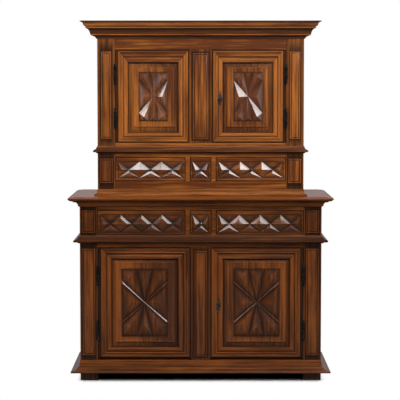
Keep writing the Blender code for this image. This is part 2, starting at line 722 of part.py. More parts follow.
def turned(name, profile, wood, place, rotation=(0.0, 0.0, 0.0), closed=False):
    """A turned piece: a profile of radius and height, from top to bottom, spun about the local Z axis."""
    bm = bmesh.new()
    points = [bm.verts.new((radius, 0.0, height)) for radius, height in profile]
    ends = points[1:] + points[:1] if closed else points[1:]
    for first, second in zip(points, ends):
        bm.edges.new((first, second))
    piece = add_piece(name, bm, wood)
    piece.location = place
    piece.rotation_euler = rotation
    spin = piece.modifiers.new("turned", "SCREW")
    spin.steps = spin.render_steps = TURNED_STEPS
    spin.use_merge_vertices = True
    spin.merge_threshold = 0.00005
    spin.use_smooth_shade = True
    return piece


def finial():
    """A vase finial over a barrel: radius and height above the barrel's end, from the tip down."""
    return [(radius * BARREL_RADIUS, height * FINIAL_HEIGHT) for radius, height in FINIAL_SHAPE]


def build_hinge(body, side, sign, level, height):
    """A barrel hinge: the half with the pin on the post, and the half that lifts with the door."""
    axis_x = sign * body.hinge_x
    place = (axis_x, body.hinge_y, height)
    bore = PIN_RADIUS + PIN_PLAY
    door_profile = [(radius, KNUCKLE_HEIGHT + rise) for radius, rise in finial()]
    bore_end = PIN_LENGTH + PIN_PLAY
    door_profile += [(BARREL_RADIUS, 0.0), (bore, 0.0), (bore, bore_end), (0.0, bore_end)]
    post_profile = [(0.0, PIN_LENGTH), (PIN_RADIUS, PIN_LENGTH), (PIN_RADIUS, -SEAT), (BARREL_RADIUS, -SEAT)]
    post_profile += [(radius, -SEAT - KNUCKLE_HEIGHT - rise) for radius, rise in reversed(finial())]
    name = f"{body.name}_hinge_{side}_{level}"
    halves = ((f"{name}_door_half", door_profile, -sign, LEAF_END_MARGIN, KNUCKLE_HEIGHT - LEAF_END_MARGIN),
              (f"{name}_post_half", post_profile, sign, LEAF_END_MARGIN - KNUCKLE_HEIGHT, -LEAF_END_MARGIN))
    for half_name, profile, towards, low, high in halves:
        half = turned(half_name, profile, "iron", place)
        far = HINGE_GAP / 2 - SEAT
        edges = sorted((axis_x + towards * far, axis_x + towards * (far - LEAF_THICKNESS)))
        leaf = box_mesh((edges[0], body.hinge_y + bore + SEAT, height + low),
                        (edges[1], body.front + LEAF_DEPTH, height + high))
        combine(half, leaf)


def drawer_spans(body):
    """Low and high x of each drawer, by name."""
    centre = CENTRE_DRAWER_WIDTH / 2
    inner = centre + RUN + DIVIDER_WIDTH + RUN
    outer = body.post_inside - RUN
    return {"left": (-outer, -inner), "centre": (-centre, centre), "right": (inner, outer)}


def build_drawer(body, name, span):
    """A drawer with its knob: an open box whose front is carved in diamond points."""
    low_x, high_x = span
    low_z, high_z = body.runner + SEAT, body.drawer_top
    cells = 1 if name == "centre" else body.cells
    bottom_border, top_border = body.drawer_borders
    bm = box_mesh((low_x, body.front, low_z), (high_x, body.drawer_end, high_z))
    mouth = outer_face(bm, (0.0, 0.0, 1.0))
    inset(bm, mouth, ((DRAWER_WALL, 0.0),))
    fit_face(mouth, 0, 1, (low_x + DRAWER_WALL, body.front + DRAWER_FRONT_THICKNESS),
             (high_x - DRAWER_WALL, body.drawer_end - DRAWER_WALL))
    floor = extrude(bm, mouth)
    for vert in floor.verts:
        vert.co.z = low_z + DRAWER_BOTTOM
    face = outer_face(bm, (0.0, -1.0, 0.0))
    inset(bm, face, ((DRAWER_SIDE_BORDER / 2, 0.0),))
    fit_face(face, 0, 2, (low_x + DRAWER_SIDE_BORDER, low_z + bottom_border),
             (high_x - DRAWER_SIDE_BORDER, high_z - top_border))
    inset(bm, face, ((BEAD_SLOPE, -CARVING_SINK),))
    carve_diamonds(bm, face, cells)
    middle_x = (low_x + high_x) / 2
    middle_z = (low_z + bottom_border + high_z - top_border) / 2
    origin = (middle_x, body.front, middle_z)
    add_piece(f"{body.name}_drawer_{name}", bm, body.wood, origin)

    ground = body.front + CARVING_SINK
    on_point = cells % 2 == 0
    facet_reach = (high_z - top_border - BEAD_SLOPE - middle_z) * 2 / 3
    lift = DIAMOND_RISE if on_point else KNOB_STEM_RADIUS * DIAMOND_RISE / facet_reach
    profile = [(radius * KNOB_RADIUS, rise * KNOB_LENGTH) for radius, rise in KNOB_SHAPE]
    profile += [(KNOB_STEM_RADIUS, 0.0), (0.0, 0.0)]
    turned(f"{body.name}_knob_{name}", profile, "bronze", (middle_x, ground - lift - SEAT, middle_z),
           (math.pi / 2, 0.0, 0.0))


def build_lock(body):
    """The key in the right door, and the bolt that it throws."""
    key_x, key_z = body.key_place
    low, high = bolt_space(body, 0.0)
    bow_y = body.front - KEY_REACH - BOW_RADIUS
    ring = [(BOW_RADIUS + BOW_WIRE_RADIUS * math.cos(turn), -BOW_WIRE_RADIUS * math.sin(turn))
            for turn in (math.tau * step / BOW_WIRE_SIDES for step in range(BOW_WIRE_SIDES))]
    key = turned(f"{body.name}_key", ring, "iron", (key_x, bow_y, key_z), (0.0, math.pi / 2, 0.0),
                 closed=True)
    shank = bmesh.new()
    shank_front = bow_y + BOW_RADIUS
    shank_middle = (key_x, (shank_front + high[1]) / 2, key_z)
    place = Matrix.Translation(shank_middle) @ Matrix.Rotation(math.pi / 2, 4, "X")
    bmesh.ops.create_cone(shank, cap_ends=True, segments=TURNED_STEPS, radius1=KEY_SHANK_RADIUS,
                          radius2=KEY_SHANK_RADIUS, depth=high[1] - shank_front, matrix=place)
    combine(key, shank)
    bit_top = key_z - KEY_SHANK_RADIUS / 2
    bit = box_mesh((key_x - BIT_THICKNESS / 2, low[1] + SEAT, key_z - KEY_SHANK_RADIUS - BIT_LENGTH),
                   (key_x + BIT_THICKNESS / 2, high[1] - SEAT, bit_top))
    combine(key, bit)
    middle = [(a + b) / 2 for a, b in zip(low, high)]
    add_piece(f"{body.name}_bolt", box_mesh(low, high), "iron", middle)


def build_body(body, side_bottom, back_bottom, rail_bottom, panels):
    """The pieces that both bodies have."""
    build_posts(body, panels)
    build_sides(body, side_bottom, panels)
    build_back(body, back_bottom)
    build_stile(body, rail_bottom)
    for side, sign in SIDES.items():
        build_door(body, side, sign)
        build_hinge(body, side, sign, "bottom", body.door_bottom + body.hinge_inset)
        build_hinge(body, side, sign, "top", body.door_top - body.hinge_inset)
    for name, span in drawer_spans(body).items():
        build_drawer(body, name, span)
    build_lock(body)


build_plinth()
build_body(LOWER, FOOT_HEIGHT + LAP, FOOT_HEIGHT + LAP, LOWER_RAIL_BOTTOM,
           ((LOWER_DOOR_BOTTOM, LOWER_DOOR_TOP), (LOWER_RUNNER, LOWER_DRAWER_TOP)))
build_lower_drawer_frame()
build_waist(LOWER, LOWER_RUNNER - LOWER_WAIST_DROP, LOWER_WAIST_HEIGHT, LOWER_WAIST_PROJECTION)
build_worktop()
build_upper_base()
build_body(UPPER, UPPER_FLOOR, UPPER_FLOOR, FRIEZE_BOTTOM,
           ((UPPER_RUNNER, UPPER_DRAWER_TOP), (UPPER_DOOR_BOTTOM, UPPER_DOOR_TOP)))
build_upper_drawer_frame()
build_waist(UPPER, UPPER_DECK - UPPER_WAIST_DROP, UPPER_WAIST_HEIGHT, UPPER_WAIST_PROJECTION)
build_cornice()
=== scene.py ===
"""The looks of a two-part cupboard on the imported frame.

Carved doors and drawers, mouldings, turned fittings, old metal and waxed walnut. Metres, +Z up, front towards
-Y, as in the frame. Every board is a closed shell worked out as whole arrays.
"""
import logging
from dataclasses import dataclass, replace
from enum import Enum

import bpy
import numpy as np
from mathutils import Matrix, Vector


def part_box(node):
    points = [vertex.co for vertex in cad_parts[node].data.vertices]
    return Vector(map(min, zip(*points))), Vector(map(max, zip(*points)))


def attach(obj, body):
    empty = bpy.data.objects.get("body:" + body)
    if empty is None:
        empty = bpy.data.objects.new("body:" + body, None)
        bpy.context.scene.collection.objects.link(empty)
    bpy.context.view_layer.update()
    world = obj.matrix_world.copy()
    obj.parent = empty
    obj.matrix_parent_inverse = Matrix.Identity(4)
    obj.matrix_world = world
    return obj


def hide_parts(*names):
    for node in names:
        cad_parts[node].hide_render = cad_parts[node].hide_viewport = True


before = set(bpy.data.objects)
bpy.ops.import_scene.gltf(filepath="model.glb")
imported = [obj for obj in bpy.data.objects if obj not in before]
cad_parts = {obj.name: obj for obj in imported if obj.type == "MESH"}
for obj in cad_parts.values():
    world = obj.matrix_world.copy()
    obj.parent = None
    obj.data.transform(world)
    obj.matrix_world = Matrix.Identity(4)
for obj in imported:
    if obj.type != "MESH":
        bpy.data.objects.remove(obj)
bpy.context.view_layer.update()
LOG = logging.getLogger("cupboard")
SIDES = {"left": -1, "right": 1}
WHITE = (1.0, 1.0, 1.0)
# What an inset of 1 adds to the low and high edges of a rectangle.
INWARDS = np.array((1.0, -1.0, 1.0, -1.0))
# How fast and how far a board's place shifts its pattern, so that no two boards look alike.
SCATTER, SCATTER_REACH = (12.99, 78.23, 37.72), 3.0
# A carved cross has a middle and four inner ends of its bars, and twelve wedges.
HUBS, WEDGES = 5, 12
Array = np.ndarray
Colour = tuple[float, float, float]
Pair = tuple[float, float]
Edges = tuple[float, float, float, float]


class Grain(Enum):
    """Which way the fibres of a board run: the order of the axes, with the long one last."""

    X = (1, 2, 0)
    Y = (2, 0, 1)
    Z = (0, 1, 2)


class Facing(Enum):
    """Where a board looks: rows are the world directions of its across, up and out axes."""

    FRONT = ((1, 0, 0), (0, 0, 1), (0, -1, 0))
    LEFT = ((0, -1, 0), (0, 0, 1), (-1, 0, 0))
    RIGHT = ((0, 1, 0), (0, 0, 1), (1, 0, 0))
    TOP = ((1, 0, 0), (0, 1, 0), (0, 0, 1))

    def world(self, local: Array) -> Array:
        """Points in world places from across, up and out values."""
        return local @ np.array(self.value, float)


class Socket:
    """A node's output that takes part in sums; each operator adds one Math node."""

    def __init__(self, graph: "Graph", socket: bpy.types.NodeSocket) -> None:
        """Keep the socket and the graph that it belongs to."""
        self.graph, self.socket = graph, socket

    def _math(self, operation: str, first: "Socket | float", second: "Socket | float") -> "Socket":
        """A Math node on two values."""
        return self.graph.node("ShaderNodeMath", {"operation": operation}, {0: first, 1: second})

    def __add__(self, other: "Socket | float") -> "Socket":
        """Sum."""
        return self._math("ADD", self, other)

    def __radd__(self, other: float) -> "Socket":
        """Sum with a number first."""
        return self._math("ADD", other, self)

    def __sub__(self, other: "Socket | float") -> "Socket":
        """Difference."""
        return self._math("SUBTRACT", self, other)

    def __rsub__(self, other: float) -> "Socket":
        """Difference from a number."""
        return self._math("SUBTRACT", other, self)

    def __mul__(self, other: "Socket | float") -> "Socket":
        """Product."""
        return self._math("MULTIPLY", self, other)

    def __rmul__(self, other: float) -> "Socket":
        """Product with a number first."""
        return self._math("MULTIPLY", other, self)

    def wave(self) -> "Socket":
        """Sine of the value."""
        return self._math("SINE", self, 0.0)

    def clamp(self) -> "Socket":
        """The value kept between 0 and 1."""
        return self.graph.node("ShaderNodeClamp", {}, {0: self})

    def between(self, low: float, high: float) -> "Socket":
        """0 below low and 1 above high, with a smooth step between them."""
        return self.graph.node("ShaderNodeMapRange", {"interpolation_type": "SMOOTHSTEP"},
                               {"Value": self, "From Min": low, "From Max": high})


@dataclass(frozen=True)
class Pattern:
    """A noise: its scale, detail and roughness, and how much it is squeezed along the grain to draw it out."""

    scale: float
    detail: float = 2.0
    roughness: float = 0.5
    along: float = 1.0


class Graph:
    """The nodes of one material or of the world."""

    def __init__(self, tree: bpy.types.NodeTree) -> None:
        """Take over a node tree and empty it."""
        self.tree = tree
        tree.nodes.clear()

    def node(self, kind: str, settings: dict, inputs: dict, output: "int | str" = 0) -> Socket:
        """Add a node.

        Args:
            kind: the node's type.
            settings: its properties, set first.
            inputs: values or sockets by input name or number.
            output: which output to hand back.

        Returns:
            The output's socket.
        """
        made = self.tree.nodes.new(kind)
        for name, value in settings.items():
            setattr(made, name, value)
        for key, value in inputs.items():
            if isinstance(value, Socket):
                self.tree.links.new(value.socket, made.inputs[key])
            else:
                made.inputs[key].default_value = value
        return Socket(self, made.outputs[output] if made.outputs else None)

    def blend(self, first: "Socket | Colour", second: "Socket | Colour", share: "Socket | float") -> Socket:
        """Mix two colours.

        Args:
            first: the colour at share 0.
            second: the colour at share 1.
            share: how much of the second.

        Returns:
            The mixed colour.
        """
        sides = [side if isinstance(side, Socket) else (*side, 1.0) for side in (first, second)]
        return self.node("ShaderNodeMix", {"data_type": "RGBA", "clamp_factor": True},
                         {0: share, 6: sides[0], 7: sides[1]}, 2)

    def noise(self, place: Socket, pattern: Pattern) -> Socket:
        """A noise as values about one half."""
        if pattern.along != 1.0:
            place = self.node("ShaderNodeVectorMath", {"operation": "MULTIPLY"},
                              {0: place, 1: (1.0, 1.0, pattern.along)})
        return self.node("ShaderNodeTexNoise", {}, {
            "Vector": place, "Scale": pattern.scale, "Detail": pattern.detail, "Roughness": pattern.roughness})

    def part(self, vector: Socket, axis: int) -> Socket:
        """One of the three values of a vector."""
        return self.node("ShaderNodeSeparateXYZ", {}, {0: vector}, axis)

    def place(self) -> Socket:
        """Object coordinates."""
        return self.node("ShaderNodeTexCoord", {}, {}, "Object")

    def attribute(self, name: str, output: str = "Fac") -> Socket:
        """What the mesh carries at each point under a name."""
        return self.node("ShaderNodeAttribute", {"attribute_name": name}, {}, output)

    def bump(self, height: Socket, strength: float, distance: float) -> Socket:
        """Relief for a shader's Normal."""
        return self.node("ShaderNodeBump", {}, {"Strength": strength, "Distance": distance, "Height": height})

    def seen(self) -> Socket:
        """1 for rays that come from the camera, straight or through glass, and 0 for all others."""
        camera, glass = (self.node("ShaderNodeLightPath", {}, {}, name)
                         for name in ("Is Camera Ray", "Is Transmission Ray"))
        return (camera + glass).clamp()


class Finish:
    """A named material; each kind of finish fills in its own nodes."""

    name: str
    slot: str

    def material(self) -> bpy.types.Material:
        """The material, made on first use."""
        made = bpy.data.materials.get(self.name)
        if made is None:
            made = bpy.data.materials.new(self.name)
            made.use_nodes = True
            graph = Graph(made.node_tree)
            graph.node("ShaderNodeOutputMaterial", {}, {"Surface": self.surface(graph)})
        return made

    def surface(self, graph: Graph) -> Socket:
        """The shader of this finish."""
        raise NotImplementedError


@dataclass(frozen=True)
class Walnut(Finish):
    """Waxed walnut: rings and streaks along the board, pores, old wax and painted shade in the hollows and
    gaps, worn edges and painted highlights.

    The board attribute carries places along each board's own grain. A finish with an axis is for a plain CAD
    node: the axis picks the way of the grain from Object coordinates.
    """

    name: str
    light: Colour
    dark: Colour
    # The dark that pores, old wax and painted shade mix into the wood.
    soot_and_shade: Colour
    slot: str = "walnut"
    axis: Grain | None = None
    wax: float = 0.85
    wax_roughness: float = 0.11
    roughness: float = 0.46
    ring_pitch: Pair = (190.0, 120.0)
    ring_drift: float = 26.0
    drift: Pattern = Pattern(5.0, 3.0, along=0.22)
    streaks: Pattern = Pattern(85.0, 6.0, 0.62, 0.035)
    clouds: Pattern = Pattern(9.0, 3.0, along=0.35)
    fibres: Pattern = Pattern(620.0, along=0.02)
    pores: Pattern = Pattern(900.0, 1.0, along=0.045)

    def surface(self, graph: Graph) -> Socket:
        """Rings, streaks and clouds mix the light and the dark wood.

        Pores darken it; old wax and painted shade darken it more, the same value below 0 lightens it as worn
        wood and painted highlight, and it dulls the wax.
        """
        board, grime_and_shade, tone = self.places(graph)
        streaks, clouds, fibres = (graph.noise(board, kind)
                                   for kind in (self.streaks, self.clouds, self.fibres))
        pores = graph.noise(board, self.pores).between(0.60, 0.74)
        sweep = graph.part(board, 0) * self.ring_pitch[0] + graph.part(board, 1) * self.ring_pitch[1]
        rings = (sweep + graph.noise(board, self.drift) * self.ring_drift).wave()
        share = rings * 0.08 + (streaks - 0.5) * 2.8 + (clouds - 0.5) * 1.9 + tone * 0.5 + 0.45
        # Share of dark: old wax, and painted shade in hollows and gaps.
        dirt_and_shade = ((clouds - 0.5) * 0.5 + grime_and_shade).between(0.05, 0.95) * 0.93
        wood = graph.blend(self.dark, self.light, share.clamp())
        wood = graph.blend(wood, self.soot_and_shade, pores * 0.42)
        wood = graph.blend(wood, self.soot_and_shade, dirt_and_shade)
        # Values below 0 lighten the wood: worn edges and painted highlights.
        wood = graph.blend(wood, self.light, (0.0 - grime_and_shade).clamp() * 0.55)
        relief = fibres * 0.35 + streaks * 0.65 - pores * 0.5
        return graph.node("ShaderNodeBsdfPrincipled", {}, {
            "Base Color": wood, "Roughness": (streaks - 0.5) * 0.14 + dirt_and_shade * 0.16 + self.roughness,
            "Normal": graph.bump(relief, 0.16, 0.0006), "Coat Weight": (1.0 - dirt_and_shade * 0.55) * self.wax,
            "Coat Roughness": self.wax_roughness, "Specular IOR Level": 0.12})

    def places(self, graph: Graph) -> tuple[Socket, Socket, Socket]:
        """Places along the grain, with the old wax and painted shade and the tone of each point."""
        if self.axis is None:
            board = graph.attribute("board", "Vector")
        else:
            place = graph.place()
            parts = [graph.part(place, axis) for axis in self.axis.value]
            board = graph.node("ShaderNodeCombineXYZ", {}, dict(enumerate(parts)))
        return board, graph.attribute("grime_and_shade"), graph.attribute("tone")


@dataclass(frozen=True)
class PaleWood(Finish):
    """Unwaxed pale wood of the drawer boxes."""

    name: str
    light: Colour
    dark: Colour
    slot: str = "walnut"
    roughness: float = 0.62
    streaks: Pattern = Pattern(120.0, 4.0, 0.6, 0.04)
    clouds: Pattern = Pattern(7.0, along=0.3)

    def surface(self, graph: Graph) -> Socket:
        """Streaks and clouds mix two tones; clouds make it more or less dull."""
        board = graph.attribute("board", "Vector")
        streaks, clouds = graph.noise(board, self.streaks), graph.noise(board, self.clouds)
        wood = graph.blend(self.dark, self.light, ((streaks - 0.5) * 1.4 + clouds).clamp())
        return graph.node("ShaderNodeBsdfPrincipled", {}, {
            "Base Color": wood, "Roughness": self.roughness + (clouds - 0.5) * 0.2,
            "Normal": graph.bump(streaks, 0.2, 0.0005)})


@dataclass(frozen=True)
class OldMetal(Finish):
    """Forged or cast metal with a dark skin that is rubbed brighter in patches."""

    name: str
    skin: Colour
    rubbed: Colour
    roughness: float
    slot: str = "iron"
    metallic: float = 0.9
    patches: Pattern = Pattern(160.0, 3.0)
    hammer: Pattern = Pattern(420.0)

    def surface(self, graph: Graph) -> Socket:
        """Two noises give the rubbed patches and the hammered skin."""
        place = graph.place()
        patches = graph.noise(place, self.patches).between(0.42, 0.72)
        hammer = graph.noise(place, self.hammer)
        return graph.node("ShaderNodeBsdfPrincipled", {}, {
            "Base Color": graph.blend(self.skin, self.rubbed, patches * 0.8), "Metallic": self.metallic,
            "Roughness": (hammer - 0.5) * 0.3 + self.roughness - patches * 0.1,
            "Normal": graph.bump(hammer, 0.35, 0.0006)})


@dataclass(frozen=True)
class PaleFloor(Finish):
    """The studio floor: pale, with a painted shadow under the object, and white to the camera away from it.

    The pairs say where a change starts and ends, across and then deep, measured from the object's middle.
    """

    name: str = "pale_floor"
    pale: Colour = (0.86, 0.86, 0.86)
    dusty: Colour = (0.92, 0.92, 0.92)
    unseen: Colour = (0.30, 0.30, 0.30)
    painted_shadow: Colour = (0.01, 0.01, 0.01)
    dust: Pattern = Pattern(3.0)
    to_white: tuple[Pair, Pair] = ((0.66, 0.72), (0.24, 0.32))
    out_of_painted_shadow: tuple[Pair, Pair] = ((0.60, 0.70), (0.17, 0.25))

    def surface(self, graph: Graph) -> Socket:
        """Dust mixes two pale tones and a painted shadow darkens it under the object; other rays than the
        camera's find it grey, so it throws up less light.
        """
        place, seen = graph.place(), graph.seen()
        beyond = graph.node("ShaderNodeVectorMath", {"operation": "ABSOLUTE"}, {0: place})
        across, deep = graph.part(beyond, 0), graph.part(beyond, 1)
        away = (across.between(*self.to_white[0]) + deep.between(*self.to_white[1])).clamp()
        # Painted shadow: the floor's colour turns almost black under the object, for all rays.
        under = (1.0 - across.between(*self.out_of_painted_shadow[0])) * (1.0 - deep.between(*self.out_of_painted_shadow[1]))
        colour = graph.blend(self.pale, self.dusty, graph.noise(place, self.dust))
        colour = graph.blend(graph.blend(self.unseen, colour, seen), self.painted_shadow, under)
        plain = graph.node("ShaderNodeBsdfDiffuse", {}, {"Color": colour})
        white = graph.node("ShaderNodeEmission", {}, {"Color": (*WHITE, 1.0), "Strength": 1.0})
        return graph.node("ShaderNodeMixShader", {}, {0: seen * away, 1: plain, 2: white})


# Each walnut: light wood, dark wood, and the dark of pores, old wax and painted shade.
GOLDEN = Walnut("waxed_walnut_golden", (0.410, 0.128, 0.020), (0.105, 0.027, 0.006), (0.010, 0.004, 0.002))
BROWN = Walnut("waxed_walnut_brown", (0.250, 0.068, 0.010), (0.070, 0.019, 0.004), (0.007, 0.003, 0.002),
               slot="walnut_dark", wax=0.5)
GOLDEN_RAIL = replace(GOLDEN, name="walnut_rail_golden", axis=Grain.X)
BROWN_RAIL = replace(BROWN, name="walnut_rail_brown", axis=Grain.X)
DRY = Walnut("dry_walnut", (0.190, 0.084, 0.031), (0.066, 0.028, 0.011), (0.012, 0.006, 0.004), wax=0.0,
             roughness=0.74)
DRAWER_WOOD = PaleWood("drawer_box_wood", (0.40, 0.25, 0.12), (0.24, 0.13, 0.055))
IRON = OldMetal("black_iron", (0.006, 0.005, 0.005), (0.12, 0.11, 0.105), 0.30)
PLATE_IRON = OldMetal("rubbed_iron", (0.040, 0.034, 0.028), (0.34, 0.30, 0.26), 0.44)
BRONZE = OldMetal("aged_bronze", (0.055, 0.046, 0.032), (0.22, 0.19, 0.13), 0.36, slot="bronze")


def placed(name: str, data: bpy.types.ID) -> bpy.types.Object:
    """A new object in the scene, at the origin."""
    made = bpy.data.objects.new(name, data)
    bpy.context.scene.collection.objects.link(made)
    return made


@dataclass
class Shell:
    """One closed board: its points and faces, the way of its grain, and the old wax with painted shade and the
    tone of each point.
    """

    points: Array
    faces: list[Array]
    grain: Grain = Grain.Z
    # Old wax and painted shade in hollows and gaps; below 0, worn wood and painted highlight.
    grime_and_shade: Array | float = 0.0
    tone: Array | float = 0.0

    def board(self) -> Array:
        """Places along the board's own grain, shifted by a sine of where the board is."""
        middle = self.points.mean(axis=0)
        shift = np.sin(middle * SCATTER + middle.sum()) * SCATTER_REACH
        return self.points[:, self.grain.value] + shift


@dataclass
class Piece:
    """A finished piece: the shells of one mesh, its finish and the body that it rides on."""

    name: str
    body: str
    finish: Finish
    shells: list[Shell]
    stands_for: tuple[str, ...] = ()
    crease: float = 32.0

    def make(self) -> None:
        """Put the shells into one mesh with their attributes, dress it and set it on the frame."""
        starts = np.cumsum([0] + [len(shell.points) for shell in self.shells])
        faces = [face for shell, start in zip(self.shells, starts)
                 for group in shell.faces for face in (group + start).tolist()]
        mesh = bpy.data.meshes.new(self.name)
        mesh.from_pydata(np.concatenate([shell.points for shell in self.shells]).tolist(), [], faces)
        self._attribute(mesh, "board", "FLOAT_VECTOR", "vector", [shell.board() for shell in self.shells])
        for name in ("grime_and_shade", "tone"):
            values = [np.broadcast_to(getattr(shell, name), len(shell.points)) for shell in self.shells]
            self._attribute(mesh, name, "FLOAT", "value", values)
        mesh.shade_smooth()
        mesh.set_sharp_from_angle(angle=np.radians(self.crease))
        mesh.materials.append(self.finish.material())
        piece = placed(self.name, mesh)
        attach(piece, self.body)
        if self.stands_for:
            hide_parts(*self.stands_for)
        LOG.info("%s: %d faces on %s", self.name, len(faces), self.body)

    @staticmethod
    def _attribute(mesh: bpy.types.Mesh, name: str, kind: str, key: str, values: list[Array]) -> None:
        """Store one value for each point of a mesh."""
        layer = mesh.attributes.new(name, kind, "POINT")
        layer.data.foreach_set(key, np.concatenate(values).astype(np.float32).ravel())


def band_faces(lower: Array, upper: Array) -> Array:
    """Four-sided faces between two rings of point numbers, or between pairs of rings, row by row."""
    corners = (lower, np.roll(lower, -1, axis=-1), np.roll(upper, -1, axis=-1), upper)
    return np.stack(corners, axis=-1).reshape(-1, 4)


def tube_faces(rows: int, sides: int, closed: bool = False) -> Array:
    """Four-sided faces between rings of points: ring i meets ring i + 1, and the last point meets the first.

    Args:
        rows: how many rings.
        sides: how many points a ring has.
        closed: whether the last ring meets the first one too.

    Returns:
        Faces as rows of four point numbers.
    """
    index = np.arange(rows * sides).reshape(rows, sides)
    return band_faces(index, np.roll(index, -1, axis=0)) if closed else band_faces(index[:-1], index[1:])


def rings_of(rects: Array, levels: Array) -> Array:
    """Corners of rectangles at levels, anticlockwise from the low left, as rings of four points."""
    rects = np.asarray(rects, float)
    return np.stack((rects[:, [0, 1, 1, 0]], rects[:, [2, 2, 3, 3]],
                     np.repeat(np.asarray(levels, float)[:, None], 4, axis=1)), axis=-1)


def shrunk(rect: Array, insets: tuple | Array) -> Array:
    """A rectangle moved inwards by each of the insets, one row for each."""
    return np.asarray(rect, float) + np.outer(insets, INWARDS)


def loft(rects: Array, levels: Array, facing: Facing, grain: Grain, grime_and_shade: Array | float = 0.0,
         tone: Array | float = 0.0) -> Shell:
    """A solid through rectangles at rising levels: a pyramid of steps, closed at both ends.

    Args:
        rects: low and high across and up values, one row for each level.
        levels: how far out each rectangle lies.
        facing: where the board looks.
        grain: the way of the fibres.
        grime_and_shade: old wax and painted shade, one value for each level.
        tone: lightness, one value for each level.

    Returns:
        The closed shell.
    """
    rings = facing.world(rings_of(rects, levels))
    count = len(rings)
    ends = np.array([[3, 2, 1, 0], np.arange(4) + 4 * (count - 1)])
    spread = [np.repeat(np.broadcast_to(value, count), 4) for value in (grime_and_shade, tone)]
    return Shell(rings.reshape(-1, 3), [tube_faces(count, 4), ends], grain, *spread)


def box(low: tuple, high: tuple, grain: Grain, tone: float = 0.0, arris: float = 0.0012,
        grime_and_shade: float = 0.0) -> Shell:
    """A board between two corners, whose front and back arrises are taken off; old wax and painted shade lie on
    its edges.
    """
    rect = np.array((low[0], high[0], low[2], high[2]))
    rects = shrunk(rect, np.array((arris, 0.0, 0.0, arris)))
    levels = (-high[1], -high[1] + arris, -low[1] - arris, -low[1])
    return loft(rects, levels, Facing.FRONT, grain, np.array((0.0, grime_and_shade, grime_and_shade, 0.0)), tone)


def prism(first: Array, last: Array, grain: Grain, grime_and_shade: Array | float = 0.0,
          tone: Array | float = 0.0) -> Shell:
    """A length of moulding between two outlines of the same points, closed by them.

    Args:
        first: outline at one end, clockwise as seen from outside that end's far side.
        last: outline at the other end.
        grain: the way of the fibres.
        grime_and_shade: old wax and painted shade, one value for each point of the outline; below 0, worn wood
            and painted highlight.
        tone: lightness of each point of the outline.

    Returns:
        The closed shell.
    """
    count = len(first)
    index = np.arange(count)
    after = np.roll(index, -1)
    walls = np.stack((index, index + count, after + count, after), axis=-1)
    spread = [np.tile(np.broadcast_to(value, count), 2) for value in (grime_and_shade, tone)]
    ends = [index[None], (index + count)[::-1][None]]
    return Shell(np.concatenate((first, last)), [walls, *ends], grain, *spread)


def pocket(shell: Shell, wall: int, low: tuple, high: tuple, bottom: float) -> None:
    """Sink a pocket into one of a board's side walls, for a bolt that slides across.

    The opening's corners are the wall's own corners drawn in to the opening's box; the pocket's inner
    corners are the same points moved across to its bottom.

    Args:
        shell: the board.
        wall: number of the wall among the board's first faces.
        low: low corner of the opening's box.
        high: high corner of the box.
        bottom: where across the pocket ends.
    """
    corners = shell.faces[0][wall]
    opening = np.clip(shell.points[corners], low, high)
    sunk = opening.copy()
    sunk[:, 0] = bottom
    first = len(shell.points) + np.arange(4)
    rings = np.stack((corners, first, first + 4))
    shell.faces = [np.delete(shell.faces[0], wall, axis=0), *shell.faces[1:],
                   band_faces(rings[:-1], rings[1:]), rings[2:]]
    shell.points = np.concatenate((shell.points, opening, sunk))
    # The pocket's walls are darker: painted shade inside the recess.
    shell.grime_and_shade = np.append(np.broadcast_to(shell.grime_and_shade, first[0]), np.full(8, 0.6))
    shell.tone = np.append(np.broadcast_to(shell.tone, first[0]), np.full(8, -0.5))


class Profile:
    """The outline of a moulding, drawn from point to point with straight and bent lines."""

    def __init__(self, across: float, rise: float, grime_and_shade: float = 0.0) -> None:
        """Start at a point."""
        self.points, self.grime_and_shade_values = [np.array([[across, rise]])], [np.array([grime_and_shade])]

    def to(self, across: float, rise: float, bulge: float = 0.0, grime_and_shade: float = 0.0,
           steps: int = 6) -> "Profile":
        """Go on to a point.

        A bent line is a parabola whose middle stands off the chord by bulge times its length, to the left
        of the way it goes.

        Args:
            across: the new point's first value.
            rise: its second value.
            bulge: how far the line bends, below 0 to the right.
            grime_and_shade: old wax and painted shade at the new point; below 0, worn wood and painted
                highlight.
            steps: how many lines a bent one gets.

        Returns:
            The profile, for the next point.
        """
        start, end = self.points[-1][-1], np.array((across, rise))
        share = np.linspace(0.0, 1.0, (steps if bulge else 1) + 1)[1:, None]
        chord = end - start
        side = np.array((-chord[1], chord[0])) * bulge * 4.0
        self.points.append(start + chord * share + side * share * (1.0 - share))
        self.grime_and_shade_values.append(self.grime_and_shade_values[-1][-1] + (grime_and_shade - self.grime_and_shade_values[-1][-1]) * share[:, 0])
        return self

    def __len__(self) -> int:
        """How many points it has so far."""
        return sum(map(len, self.points))

    def array(self) -> tuple[Array, Array]:
        """The points and their grime."""
        return np.concatenate(self.points), np.concatenate(self.grime_and_shade_values)


def run_round(profile: Profile, half: float, front: float, back: float,
              tone: Array | float = 0.0) -> list[Shell]:
    """A moulding carried round three sides of a body, mitred at the front corners.

    Each point of the profile stands out by its first value from the sides and the front, at the height of
    its second value; the profile goes from the top down.

    Args:
        profile: how far out and how high.
        half: half the body's width.
        front: the body's front plane.
        back: where the side lengths end.
        tone: lightness of the wood.

    Returns:
        The right, front and left lengths.
    """
    points, grime_and_shade = profile.array()
    out, height = points.T
    ends = np.full_like(out, back)
    stations = [np.stack(place, axis=-1) for place in (
        (half + out, ends, height), (half + out, front - out, height),
        (-half - out, front - out, height), (-half - out, ends, height))]
    return [prism(first, last, grain, grime_and_shade, tone)
            for first, last, grain in zip(stations, stations[1:], (Grain.Y, Grain.X, Grain.Y))]


